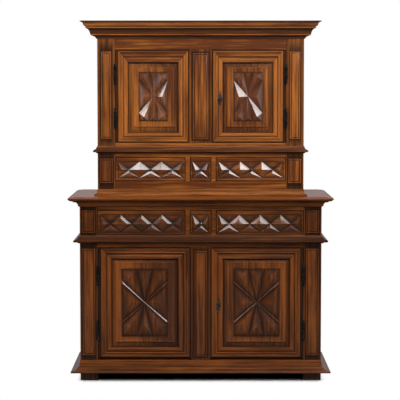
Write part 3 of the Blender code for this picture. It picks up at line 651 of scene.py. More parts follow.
def mitred_frame(rects: Array, levels: Array, facing: Facing, grime_and_shade: Array, tones: tuple) -> list[Shell]:
    """Four members of a frame round a rectangle, each cut off at the corners of its steps.

    Args:
        rects: the steps of the moulding from the outline to the opening and back, as rectangles.
        levels: how far out each step lies.
        facing: where the frame looks.
        grime_and_shade: old wax and painted shade of each step.
        tones: lightness of the bottom, right, top and left member.

    Returns:
        The four members.
    """
    rings = facing.world(rings_of(rects, levels))
    grains = (Grain.X, Grain.Z, Grain.X, Grain.Z)
    return [prism(rings[:, side], rings[:, (side + 1) % 4], grains[side], grime_and_shade, tones[side])
            for side in range(4)]


def turned(profile: Array, middle: tuple, facing: Facing, sides: int = 28) -> Shell:
    """A turned piece: each point of the profile, a radius and a height, goes round the facing's out axis.

    Args:
        profile: radii and heights, from the low end to the high end.
        middle: the axis's place in the world at height 0.
        facing: its out axis is the axis of turning.
        sides: how many points a ring has.

    Returns:
        The closed shell.
    """
    turn = np.linspace(0.0, 2.0 * np.pi, sides, endpoint=False)
    radius, height = np.asarray(profile, float).T
    local = np.stack((np.outer(radius, np.cos(turn)), np.outer(radius, np.sin(turn)),
                      np.repeat(height[:, None], sides, axis=1)), axis=-1)
    ring = np.arange(sides)
    ends = [ring[::-1][None], (ring + sides * (len(radius) - 1))[None]]
    return Shell(facing.world(local).reshape(-1, 3) + middle, [tube_faces(len(radius), sides)] + ends)


@dataclass(frozen=True)
class Plan:
    """The places that the pieces of one of the two bodies share, read from the frame."""

    name: str
    wood: Walnut
    rail_wood: Walnut
    half: float
    front: float
    back: float
    floor: float
    top: float
    post_inside: float
    post_back: float
    waist: float
    throw: float = 0.012
    slack: float = 0.0004

    @classmethod
    def read(cls, name: str, wood: Walnut, rail_wood: Walnut) -> "Plan":
        """Read a body's places from the boxes of its posts, sides, drawer frame and waist moulding."""
        post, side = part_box(f"{name}_post_right"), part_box(f"{name}_side_right")
        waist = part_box(f"{name}_waist_moulding")
        return cls(name, wood, rail_wood, post[1].x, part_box(f"{name}_drawer_frame")[0].y, side[1].y,
                   post[0].z, post[1].z, post[0].x, post[1].y, (waist[0].z + waist[1].z) / 2)

    @property
    def stands(self) -> bool:
        """Whether the body stands on the floor."""
        return self.floor < 0.01

    def bolt_way(self) -> tuple[tuple, tuple]:
        """Low and high corner of the way that the bolt slides along, open at both ends."""
        low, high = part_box(f"{self.name}_bolt")
        slack = self.slack
        return (-np.inf, low.y - slack, low.z - slack), (np.inf, high.y + slack, high.z + slack)


@dataclass
class RaisedPanel:
    """A raised panel on a post or a stile: a bead round it, a quirk inside the bead and a flat field."""

    bead: float = 0.006
    rise: float = 0.005
    quirk: float = 0.003
    slope: float = 0.006
    quirk_depth: float = 0.0035
    drop: float = 0.0008
    arris: float = 0.0015
    # The ground round the panel is darker: old wax and painted shade from the door's gap beside it.
    ground: float = -0.2
    dust: float = 0.28

    def profile(self) -> tuple[Array, Array]:
        """Insets and levels of the panel's steps, with their old wax and painted shade."""
        # The bead is lighter as wear and painted highlight; the quirk inside it is darker with old wax and
        # painted shade.
        shape = Profile(0.0, 0.0, 0.9).to(self.bead * 0.3, self.rise * 0.9, grime_and_shade=-0.2)
        shape.to(self.bead, self.rise * 0.9, 0.22, -0.25)
        low = self.rise - self.quirk_depth
        shape.to(self.bead + self.quirk * 0.5, low, grime_and_shade=0.9).to(self.bead + self.quirk, low, grime_and_shade=0.8)
        shape.to(self.bead + self.quirk + self.slope, self.rise - self.drop, 0.14)
        return shape.array()

    def board(self, band: Array, panel: Array, back: float, front: float, facing: Facing, tone: float) -> Shell:
        """A board with one raised panel.

        Args:
            band: low and high across and up values of the board.
            panel: the same of the raised panel.
            back: level of the board's back.
            front: level of its front.
            facing: where it looks.
            tone: lightness of the wood.

        Returns:
            The closed shell.
        """
        steps, grime_and_shade = self.profile()
        rects = np.concatenate((shrunk(band, (0.0, 0.0, self.arris)), shrunk(panel, steps[:, 0])))
        levels = np.concatenate(((back, front - self.arris, front), front + steps[:, 1]))
        dirt_and_shade = np.concatenate(((0.0, self.dust, self.dust), grime_and_shade))
        tones = np.concatenate((np.full(3, self.ground), np.full(len(grime_and_shade), tone)))
        return loft(rects, levels, facing, Grain.Z, dirt_and_shade, tones)


@dataclass
class Carcass:
    """Posts, sides, centre stile and back of one body."""

    plan: Plan
    block: Pair
    margin: float
    block_margin: float = 0.0135
    post_tones: Pair = (-0.1, 0.9)
    stile_tone: float = -0.45
    stile_margin: float = 0.019
    side_margin: float = 0.070
    block_tone: float = -0.9
    foot: Pair = (0.07, 0.05)
    planks: int = 7
    groove: float = 0.003

    def build(self) -> None:
        """Make the pieces on both sides, then the stile and the back."""
        for side, sign in SIDES.items():
            self.post(side, sign)
            self.side(side, sign)
        self.stile()
        self.back()

    def bands(self) -> list[Edges]:
        """Low and high end of the board below and above the waist, with its panel's low and high end.

        The tall panel is as high as a door, and the small one stands in the block beside the drawers.
        """
        plan, door = self.plan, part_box(f"{self.plan.name}_door_left_frame")
        panels = sorted(((door[0].z, door[1].z), self.block))
        cuts = (plan.floor, plan.waist, plan.top)
        return [(low, high, *panel) for low, high, panel in zip(cuts, cuts[1:], panels)]

    def post(self, side: str, sign: int) -> None:
        """A front post in two lengths that meet behind the waist moulding, each with a raised panel."""
        plan, panel = self.plan, RaisedPanel()
        low, high = sorted((sign * plan.half, sign * plan.post_inside))
        shells = []
        for bottom, top, first, last in self.bands():
            tall = (first, last) != self.block
            edge = self.margin if tall else self.block_margin
            rect = np.array((low + edge, high - edge, first + edge, last - edge * 0.5))
            tone = self.post_tones[sign > 0] if tall else self.block_tone
            shells.append(panel.board(np.array((low, high, bottom, top)), rect, -plan.post_back, -plan.front,
                                      Facing.FRONT, tone))
        Piece(f"{plan.name}_post_{side}_panelled", "carcass", plan.wood, shells,
              (f"{plan.name}_post_{side}",)).make()

    def side(self, side: str, sign: int) -> None:
        """A side in two lengths, each with a sunk fielded panel, and the foot under its back end."""
        plan, node = self.plan, f"{self.plan.name}_side_{side}"
        low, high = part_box(node)
        facing = Facing.RIGHT if sign > 0 else Facing.LEFT
        across = sorted((sign * low.y, sign * high.y))
        inside = min(abs(low.x), abs(high.x))
        shells = []
        for bottom, top, first, last in self.bands():
            margin = min(self.side_margin, (last - first) / 4)
            # The edge of the sunk panel is darker with old wax and painted shade.
            shape = Profile(0.0, 0.0, 0.2).to(0.003, -0.002, -0.3, 0.2).to(0.005, -0.008, 0.0, 0.9)
            shape.to(0.005 + margin * 0.28, -0.008, 0.0, 0.3).to(0.005 + margin * 0.75, -0.0035, 0.08, 0.0)
            steps, grime_and_shade = shape.array()
            rect = np.array((across[0] + margin, across[1] - margin, first + margin * 0.6, last - margin * 0.6))
            bottom = max(bottom, self.foot[1]) if plan.stands else bottom
            rects = np.concatenate((shrunk((*across, bottom, top), np.zeros(2)), shrunk(rect, steps[:, 0])))
            levels = np.concatenate(((inside, plan.half), plan.half + steps[:, 1]))
            shells.append(loft(rects, levels, facing, Grain.Z, np.concatenate(((0.0, 0.0), grime_and_shade)), 0.0))
        if plan.stands:
            edges = sorted((sign * inside, sign * plan.half))
            length, height = self.foot
            shells.append(box((edges[0], high.y - length, 0.0), (edges[1], high.y, height), Grain.Z, -0.8))
        Piece(f"{node}_panelled", "carcass", plan.wood, shells, (node,)).make()

    def stile(self) -> None:
        """The fixed stile between the doors with its raised panel."""
        plan, node = self.plan, f"{self.plan.name}_centre_stile"
        low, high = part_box(node)
        margin = self.stile_margin
        panel = np.array((low.x + margin, high.x - margin, low.z + margin, high.z - margin))
        shell = RaisedPanel().board(np.array((low.x, high.x, low.z, high.z)), panel, -high.y, -plan.front,
                                    Facing.FRONT, self.stile_tone)
        way = plan.bolt_way()
        pocket(shell, 1, *way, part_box(f"{plan.name}_bolt")[0].x - plan.throw - plan.slack)
        Piece(f"{node}_panelled", "carcass", plan.wood, [shell], (node,)).make()

    def back(self) -> None:
        """Upright planks with grooves between them, as the back of such a cupboard is boarded."""
        node = f"{self.plan.name}_back"
        low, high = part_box(node)
        edges = np.linspace(low.x, high.x, self.planks + 1)
        tones = np.sin(np.arange(self.planks) * 2.3) * 0.3 - 0.3
        # The planks' edges are darker in the grooves: old wax and painted shade.
        shells = [box((first, low.y, low.z), (last, high.y, high.z), Grain.Z, tone, self.groove, 1.0)
                  for first, last, tone in zip(edges, edges[1:], tones)]
        Piece(f"{node}_planks", "carcass", DRY, shells, (node,)).make()


@dataclass
class Mouldings:
    """Cornice, waist mouldings, worktop, upper base and plinth."""

    lower: Plan
    upper: Plan
    lip: float = 0.0006
    fit: float = 0.0005
    roof: float = 0.0046
    rail_depth: float = 0.062
    deck_thickness: float = 0.018
    door_stop: float = 0.0275
    toe: float = 0.009

    def build(self) -> None:
        """Make each moulding with the boards that belong to it."""
        self.cornice()
        self.waist(self.upper)
        self.base()
        self.worktop()
        self.waist(self.lower)
        self.plinth()

    def rail(self, plan: Plan, bottom: float, top: float, depth: float, tone: float = 0.0) -> Shell:
        """A rail between the posts, flush with their fronts."""
        reach = plan.post_inside - self.fit
        return box((-reach, plan.front, bottom), (reach, plan.front + depth, top), Grain.X, tone, 0.0006)

    def deck(self, plan: Plan, bottom: float, top: float) -> Shell:
        """A board from behind the posts to the back."""
        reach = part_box(f"{plan.name}_side_right")[0].x - self.fit
        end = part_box(f"{plan.name}_back")[0].y - self.fit
        return box((-reach, plan.post_back + 0.0003, bottom), (reach, end, top), Grain.X, -0.4, 0.0006)

    def cornice(self) -> None:
        """From the top: fillet, cyma, astragal, deep cove, fillet and small cove down to the frieze.

        The frieze rail, a back rail and a ceiling board stand inside it, and an unwaxed roof board lies on it.
        """
        plan = self.upper
        low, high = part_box("cornice")
        reach, top, bottom = high.x - plan.half, high.z, plan.top + self.lip
        under = top - self.roof
        shape = Profile(-0.028, under).to(reach - 0.0015, under, grime_and_shade=0.5)
        shape.to(reach - 0.017, top - 0.018, -0.18, 0.0).to(reach - 0.029, top - 0.032, 0.18, 0.2)
        # The astragal is lightened as a painted highlight; the coves and quirks are darkened with old wax and
        # painted shade.
        shape.to(reach - 0.032, top - 0.0335, grime_and_shade=0.8).to(reach - 0.0315, top - 0.034, grime_and_shade=-0.6)
        shape.to(reach - 0.0315, top - 0.042, 0.48, -0.5)
        shape.to(reach - 0.036, top - 0.0422, grime_and_shade=0.8).to(0.037, top - 0.0735, -0.12, 0.66, 10)
        shape.to(0.035, top - 0.074, grime_and_shade=0.2).to(0.035, top - 0.080, grime_and_shade=-0.5)
        shape.to(0.029, top - 0.081, grime_and_shade=0.9).to(0.006, top - 0.0985, -0.16, 0.5)
        shape.to(0.0008, top - 0.1000, grime_and_shade=0.9).to(0.0008, bottom).to(-0.028, bottom, grime_and_shade=0.3)
        shells = run_round(shape, plan.half, plan.front, plan.back, -0.1)
        shells.append(self.rail(plan, low.z, bottom + 0.002, 0.030, -0.8))
        inner = plan.half - 0.027
        shells.append(box((-inner, plan.back - 0.016, bottom), (inner, plan.back, top - 0.019), Grain.X, -0.5))
        shells.append(box((-inner, plan.front + 0.027, top - 0.018), (inner, plan.back, under), Grain.X, -0.5))
        Piece("cornice_moulded", "carcass", plan.wood, shells, ("cornice",)).make()
        roof = box((low.x, low.y, under), (high.x, high.y, top), Grain.X, 0.2)
        Piece("cornice_roof_board", "carcass", DRY, [roof]).make()

    def waist(self, plan: Plan) -> None:
        """From the top: fillet, hollow slope, bead at the nose, fillet and small cove under it."""
        low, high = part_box(f"{plan.name}_waist_moulding")
        reach, height, top = high.x - plan.half, high.z - low.z, high.z
        shape = Profile(self.lip, top, 0.5).to(reach * 0.12, top - height * 0.01, grime_and_shade=-0.1)
        shape.to(reach * 0.18, top - height * 0.10, grime_and_shade=-0.2).to(reach * 0.22, top - height * 0.14, grime_and_shade=0.6)
        shape.to(reach * 0.74, top - height * 0.52, -0.16, 0.1, 8)
        shape.to(reach * 0.78, top - height * 0.54, grime_and_shade=0.6)
        shape.to(reach * 0.80, top - height * 0.84, 0.42, 0.2, 8)
        # Under the bead and in the small cove: old wax and painted shade.
        shape.to(reach * 0.62, top - height * 0.85, grime_and_shade=0.8)
        shape.to(reach * 0.24, low.z, -0.2, 0.7).to(self.lip, low.z, grime_and_shade=0.8)
        shells = run_round(shape, plan.half, plan.front, plan.back, -0.9)
        name = f"{plan.name}_waist_moulding"
        Piece(f"{name}_run", "carcass", plan.wood, shells, (name,)).make()

    def base(self) -> None:
        """A hollow flare down to a fillet, the rail over it and the board that the upper drawers run on."""
        plan = self.upper
        low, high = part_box("upper_base")
        reach, top = high.x - plan.half, low.z + 0.036
        shape = Profile(self.lip, top, 0.4).to(0.003, top - 0.001, grime_and_shade=-0.1)
        shape.to(0.0035, top - 0.004, grime_and_shade=0.4)
        shape.to(reach - 0.001, low.z + 0.007, -0.17, 0.1, 8).to(reach, low.z + 0.006, grime_and_shade=-0.2)
        shape.to(reach, low.z, grime_and_shade=0.6).to(self.lip, low.z)
        shells = run_round(shape, plan.half, plan.front, plan.back, 0.15)
        shells += [self.rail(plan, low.z, high.z, self.rail_depth, -0.75),
                   self.deck(plan, high.z - self.deck_thickness, high.z)]
        Piece("upper_base_moulded", "carcass", plan.wood, shells, ("upper_base",)).make()

    def worktop(self) -> None:
        """A board with a thumb-moulded edge, and the cove under it that hugs the lower body.

        The edge is a stack of rectangles that grow with the moulding while their back edge stays.
        """
        plan = self.lower
        low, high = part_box("worktop")
        reach, under, top = high.x - plan.half, plan.top + self.lip, high.z
        # Under the nose the edge is darker with old wax and painted shade.
        edge = Profile(reach * 0.58, under, 0.6).to(reach * 0.74, under + 0.0005, grime_and_shade=0.9)
        edge.to(reach + 0.006, under + 0.0150, -0.12, 0.2).to(reach + 0.005, under + 0.0168, -0.3, -0.2)
        edge.to(reach * 0.60, top - 0.0025, -0.10, 0.0, 8).to(reach * 0.56, top - 0.003, grime_and_shade=0.5)
        edge.to(reach * 0.52, top, grime_and_shade=0.1)
        points, grime_and_shade = edge.array()
        out, height = points.T
        back = np.full_like(out, high.y)
        rects = np.stack((-plan.half - out, plan.half + out, plan.front - out, back), axis=-1)
        shells = [loft(rects, height, Facing.TOP, Grain.X, grime_and_shade, 0.8)]
        # The cove under the top is darker in its hollow with old wax and painted shade.
        cove = Profile(self.lip, under - 0.0003).to(0.036, under - 0.0003, grime_and_shade=0.5)
        cove.to(0.036, under - 0.005, grime_and_shade=-0.5)
        cove.to(0.033, under - 0.0055, grime_and_shade=0.3).to(0.010, under - 0.022, -0.2, -0.1, 8)
        cove.to(0.009, under - 0.0225, grime_and_shade=0.0).to(0.009, under - 0.029, grime_and_shade=-0.3)
        cove.to(0.003, low.z, -0.1, 0.6).to(self.lip, low.z, grime_and_shade=0.6)
        shells += run_round(cove, plan.half, plan.front, plan.back, 0.5)
        Piece("worktop_moulded", "carcass", plan.wood, shells, ("worktop",)).make()

    def plinth(self) -> None:
        """A hollow flare with a rounded toe, the sill behind it, the cupboard floor and the door stop."""
        plan = self.lower
        low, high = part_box("lower_plinth")
        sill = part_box("lower_centre_stile")[0].z - 0.0003
        reach, top = high.x - plan.half + self.toe, sill
        shape = Profile(self.lip, top, 0.4).to(0.002, top - 0.0005)
        shape.to(0.003, top - 0.002, grime_and_shade=-0.1)
        shape.to(0.005, top - 0.034, grime_and_shade=0.1).to(0.0055, top - 0.036, grime_and_shade=0.8)
        upright = len(shape)
        shape.to(0.010, top - 0.037, grime_and_shade=-0.1).to(0.012, top - 0.039, grime_and_shade=0.0)
        shape.to(reach - 0.003, low.z + 0.014, -0.17, 0.1, 8).to(reach - 0.001, low.z + 0.012, grime_and_shade=-0.3)
        shape.to(reach - 0.004, low.z + 0.001, 0.4, 0.3)
        shape.to(reach - 0.008, low.z, grime_and_shade=0.8).to(self.lip, low.z, grime_and_shade=0.9)
        tones = np.where(np.arange(len(shape)) < upright, -0.15, -0.5)
        shells = run_round(shape, plan.half, plan.front, plan.back, tones)
        shells += [self.rail(plan, low.z + 0.002, sill, self.rail_depth, 1.0),
                   self.deck(plan, sill - self.deck_thickness, sill)]
        side, stop = plan.post_inside - self.fit, plan.front + self.door_stop
        shells.append(box((-side, stop, sill - 0.002), (side, plan.post_back, high.z), Grain.X, -0.3))
        Piece("lower_plinth_moulded", "carcass", plan.wood, shells, ("lower_plinth",)).make()


@dataclass
class Star:
    """A carved cross of raised points in a rectangle.

    Spokes run from the middle to points on the edge and lie at the ground; between two spokes a wedge rises
    to its own point. With a bar, each of the four long spokes is a ridge with two flanks, which keeps the share
    taper of its width and height at the middle.
    """

    half: Pair
    rise: float
    side: float
    edge: float
    bar: float
    side_point: float
    end_point: float
    kite_point: Pair
    ridge: float = 0.0
    lean: float = 0.0
    taper: float = 0.35
    bed: float = 0.017
    bend: float = 0.50
    hollow: float = 0.40
    tone: float = -0.9

    def ring(self) -> tuple[Array, Array, Array]:
        """Points on the edge, anticlockwise from the low left corner, as shares of the half sizes.

        Returns:
            The points, the number of the wedge after each point, and the places of the corners.
        """
        s, e, b = self.side, self.edge, self.bar
        quarter = [(-1, -1), (-e, -1), (e, -1), (1, -1)]
        flank = [(1, -s - b), (1, -s + b), (1, s - b), (1, s + b)] if b else [(1, -s), (1, s)]
        half = np.array(quarter + flank, float)
        points = np.concatenate((half, -half))
        if b:
            wedges = np.array([0, 1, 2, 2, 3, 4, 5, 6, 6, 7, 8, 8, 9, 10, 11, 0])
        else:
            wedges = np.array([0, 1, 2, 2, 4, 6, 6, 7, 8, 8, 10, 0])
        return points, wedges, np.array((0, 3, len(half), len(half) + 3))

    def points_of_wedges(self) -> Array:
        """The high point of each of the twelve wedges: kites, ends, sides and bars."""
        (ku, kv), s = self.kite_point, self.side
        half = [(-ku, -kv, 1.0), (0.0, -self.end_point, 0.92), (ku, -kv, 1.0), (0.93, -s * 0.93, self.ridge),
                (self.side_point, 0.0, 1.0), (0.93, s * 0.93, self.ridge)]
        full = np.array(half + [(-u, -v, w) for u, v, w in half])
        hand = np.sin(np.arange(WEDGES)[:, None] * (2.4, 4.1, 1.7) + self.lean) * (0.015, 0.015, 0.05)
        low = np.array((10, 2) if self.lean < 0 else (4, 0))
        hand[low, 2] -= 0.15
        hand[0, 2] += 0.15 * (self.lean < 0)
        return full + hand * (full[:, 2:] > self.ridge + 1e-6)

    def surface(self, first: int, level: float) -> tuple[Array, Array, Array, Array]:
        """The carved surface.

        Args:
            first: number of the first point of the ring.
            level: level of the ground.

        Returns:
            Across, up and out values of the points, ring first; old wax and painted shade of each, lighter at
            the points as wear and painted highlight; triangles; corner places.
        """
        ring, wedges, corners = self.ring()
        count, peaks = len(ring), self.points_of_wedges()
        first_peak, first_mid = count + HUBS, count + HUBS + WEDGES
        up, across = self.bar * self.taper, self.bar * self.taper / self.side
        hubs = np.array([(0, 0), (0, -up), (across, 0), (0, up), (-across, 0)])
        hub_of = np.array([1, 1, 1, 0, 2, 0, 3, 3, 3, 0, 4, 0]) if self.bar else np.zeros(WEDGES, int)
        crest = self.ridge * self.rise * self.taper * (1.0 if self.bar else 0.0)
        halfway = hubs[hub_of] * (1.0 - self.bend) + peaks[:, :2] * self.bend
        flat = np.concatenate((ring, hubs, peaks[:, :2], halfway)) * self.half
        out = np.concatenate((np.zeros(first_peak), peaks[:, 2] * self.rise,
                              peaks[:, 2] * self.rise * self.hollow))
        out[count] = crest
        peak, mid = first_peak + wedges, first_mid + wedges
        index = np.arange(count)
        spokes = np.delete(index, corners)
        start_of, end_of = hub_of.copy(), hub_of.copy()
        bars = np.array((3, 5, 9, 11)) if self.bar else np.zeros(0, int)
        if self.bar:
            start_of[bars], end_of[bars] = (1, 2, 3, 4), (2, 3, 4, 1)
        before = np.roll(wedges, 1)
        plain, last = spokes[~np.isin(wedges[spokes], bars)], spokes[~np.isin(before[spokes], bars)]
        barred, ended = np.setdiff1d(spokes, plain), np.setdiff1d(spokes, last)
        middle = np.full(len(bars), count)
        triangles = [np.stack(corner, axis=-1) for corner in (
            (index, np.roll(index, -1), peak),
            (count + start_of[wedges[plain]], plain, mid[plain]), (mid[plain], plain, peak[plain]),
            (last, count + end_of[before[last]], first_mid + before[last]),
            (last, first_mid + before[last], first_peak + before[last]),
            (count + start_of[wedges[barred]], barred, peak[barred]),
            (ended, count + end_of[before[ended]], first_peak + before[ended]),
            (count + end_of[bars], middle, first_peak + bars),
            (middle, count + start_of[bars], first_peak + bars))]
        # Grooves and the middle are darker with old wax and painted shade; the points lighter as wear and
        # painted highlight.
        grime_and_shade = np.repeat((0.75, 0.8, -0.35, 0.1), (count, HUBS, WEDGES, WEDGES))
        grime_and_shade[count] = 0.2
        points = np.column_stack((flat, out + level))
        return points, grime_and_shade, np.concatenate(triangles) + first, corners


def ring_faces(outer: Array, ring: Array, corners: Array) -> list[list[int]]:
    """Flat faces between a rectangle's four corners and a ring of points inside it.

    Args:
        outer: numbers of the rectangle's corners.
        ring: numbers of the ring's points, anticlockwise from the low left corner.
        corners: places in the ring of its own four corners.

    Returns:
        One face for each side.
    """
    ends = np.append(corners, corners[0] + len(ring))
    return [[outer[side], outer[(side + 1) % 4], *np.take(ring, np.arange(ends[side + 1], ends[side] - 1, -1),
                                                          mode="wrap").tolist()] for side in range(4)]


@dataclass
class Door:
    """A door: a moulded frame, a fielded panel with its carved cross and, where it locks, a keyhole plate."""

    plan: Plan
    side: str
    star: Star
    bevels: Edges
    reveal: Edges
    carving: Pair
    glow: Pair
    members: Edges
    hinge_margin: float = 0.016
    plain_margin: float = 0.006
    moulding: float = 0.066

    def __post_init__(self) -> None:
        """Read the door's rectangle and its opening from the frame.

        Bevels and reveals are given for the outer, inner, low and high side.
        """
        self.sign = SIDES[self.side]
        self.node = f"{self.plan.name}_door_{self.side}"
        self.body = f"{self.plan.name}_{self.side}_door"
        low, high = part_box(f"{self.node}_frame")
        self.rect, self.back = np.array((low.x, high.x, low.z, high.z)), high.y - self.plan.front
        low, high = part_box(f"{self.node}_panel")
        panel = np.array((low.x, high.x, low.z, high.z))
        self.opening = panel + self.inwards(self.reveal)
        out, up = self.carving
        self.middle = np.array((panel[:2].mean() + self.sign * out, panel[2:].mean() + up))

    def inwards(self, insets: Edges) -> Array:
        """Outer, inner, low and high insets as what they add to a rectangle's edges."""
        outer, inner, low, high = insets
        sides = (outer, inner) if self.sign < 0 else (inner, outer)
        return np.array((sides[0], -sides[1], low, -high))

    def build(self) -> None:
        """Make the frame and the panel."""
        self.make_frame()
        self.make_panel()

    def make_frame(self) -> None:
        """From the edge: flat margin, bead, band, quirk, bead, quirk and a swelling band down to the panel."""
        start = self.rect + INWARDS * self.plain_margin
        hinge = 0 if self.sign < 0 else 1
        start[hinge] = self.rect[hinge] - self.sign * self.hinge_margin
        # Beads are lighter as wear and painted highlight; quirks darker with old wax and painted shade.
        shape = Profile(0.0, 0.0, 0.85).to(0.0012, 0.0050, grime_and_shade=-0.2).to(0.0060, 0.0050, 0.25, -0.3)
        shape.to(0.0070, 0.0030, grime_and_shade=0.5).to(0.0140, 0.0022, grime_and_shade=0.0)
        shape.to(0.0150, 0.0006, grime_and_shade=0.40).to(0.0178, 0.0006, grime_and_shade=0.40)
        shape.to(0.0190, 0.0030, grime_and_shade=-0.1).to(0.0290, 0.0030, 0.28, -0.25)
        shape.to(0.0320, -0.0016, -0.1, 0.60).to(0.0350, -0.0016, grime_and_shade=0.55)
        shape.to(0.0370, 0.0015, grime_and_shade=0.05).to(0.0565, 0.0058, 0.10, -0.15, 8).to(0.0595, 0.0048, 0.2, -0.1)
        shape.to(0.0625, -0.0010, -0.2, 0.6).to(self.moulding, -0.0050, grime_and_shade=1.0)
        steps, grime_and_shade = shape.array()
        front, share = -self.plan.front, steps[:, :1] / self.moulding
        rects = np.concatenate((shrunk(self.rect, (0.0, 0.0, 0.001)),
                                start * (1.0 - share) + self.opening * share, self.opening[None]))
        levels = np.concatenate(((front - self.back, front - 0.001, front), front + steps[:, 1],
                                 (front - self.back,)))
        # The door's edge and flat margin are darker: old wax and painted shade of the gap round the door.
        dirt_and_shade = np.concatenate(((0.0, 0.95, 0.85), grime_and_shade, (0.3,)))
        outer, inner, bottom, top = self.members
        tones = (bottom, outer if self.sign > 0 else inner, top, outer if self.sign < 0 else inner)
        shells = mitred_frame(rects, levels, Facing.FRONT, dirt_and_shade, tones)
        if self.side == "right":
            plan = self.plan
            pocket(shells[3], 0, *plan.bolt_way(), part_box(f"{plan.name}_bolt")[1].x + plan.slack)
        Piece(f"{self.node}_frame_moulded", self.body, self.plan.wood, shells, (f"{self.node}_frame",)).make()

    def border(self) -> tuple[Array, Array, Array]:
        """Insets, rises, and old wax and painted shade of the edge round the carving: a strip, or a small bead
        round a cross.
        """
        if self.star.bar:
            return (np.array((-0.0060, -0.0048, -0.0040, -0.0018, -0.0010)),
                    np.array((0.0, 0.0, 0.0028, 0.0030, 0.0020)), np.array((0.1, 0.5, 0.0, -0.1, 0.3)))
        return np.array((-0.0035, -0.0005)), np.zeros(2), np.array((0.05, 0.5))

    def make_panel(self) -> None:
        """A bevel out of the frame's groove, a small step up to the field, and the carving on it.

        The bevel's rectangles go from the opening to the field's edge by equal shares on each side.
        """
        front, share = -self.plan.front, np.linspace(0.0, 1.0, 6)
        field = self.opening + self.inwards(self.bevels)
        slope = self.opening + np.outer(share, self.inwards(self.bevels))
        rects = np.concatenate((shrunk(self.opening, (-0.004, -0.004)), slope,
                                shrunk(field, (0.0014, 0.0042, 0.0070, 0.0090))))
        levels = np.concatenate(((-0.0185, -0.0095), -0.0095 + 0.0050 * share ** 0.8,
                                 (0.0012, 0.0030, 0.0026, 0.0012)))
        # The bevel out of the groove is darker with old wax and painted shade; the step up to the field is
        # lighter as wear and painted highlight.
        grime_and_shade = np.concatenate(((0.2, 0.8), 0.60 - 0.25 * share, (0.3, -0.4, -0.3, 0.0)))
        ground = levels[-1]
        rim = np.repeat(self.middle, 2) - INWARDS * np.repeat(self.star.half, 2)
        insets, rises, dirt_and_shade_values = self.border()
        rects = np.concatenate((rects, shrunk(rim, insets)))
        levels, grime_and_shade = np.concatenate((levels, ground + rises)), np.concatenate((grime_and_shade, dirt_and_shade_values))
        ground += self.star.bar * self.star.bed
        rings = rings_of(rects, levels)
        count = len(rings)
        points, dirt_and_shade, triangles, corners = self.star.surface(4 * count, ground)
        points[:, :2] += self.middle
        local = np.concatenate((rings.reshape(-1, 3), points)) + (0.0, 0.0, front)
        ring = np.arange(len(points) - HUBS - 2 * WEDGES) + 4 * count
        faces = [tube_faces(count, 4), np.array([[3, 2, 1, 0]]), triangles]
        faces += [np.array([face]) for face in ring_faces(np.arange(4) + 4 * (count - 1), ring, corners)]
        width = self.opening[1] - self.opening[0]
        outward = self.sign * (rings[..., 0].ravel() - self.middle[0]) / width * 2.0
        tone = np.concatenate((self.glow[0] + outward * self.glow[1], np.full(len(points), self.star.tone)))
        dirt_and_shade = np.concatenate((np.repeat(grime_and_shade, 4), dirt_and_shade))
        shell = Shell(Facing.FRONT.world(local), faces, Grain.Z, dirt_and_shade, tone)
        Piece(f"{self.node}_panel_carved", self.body, self.plan.wood, [shell], (f"{self.node}_panel",),
              crease=15.0).make()


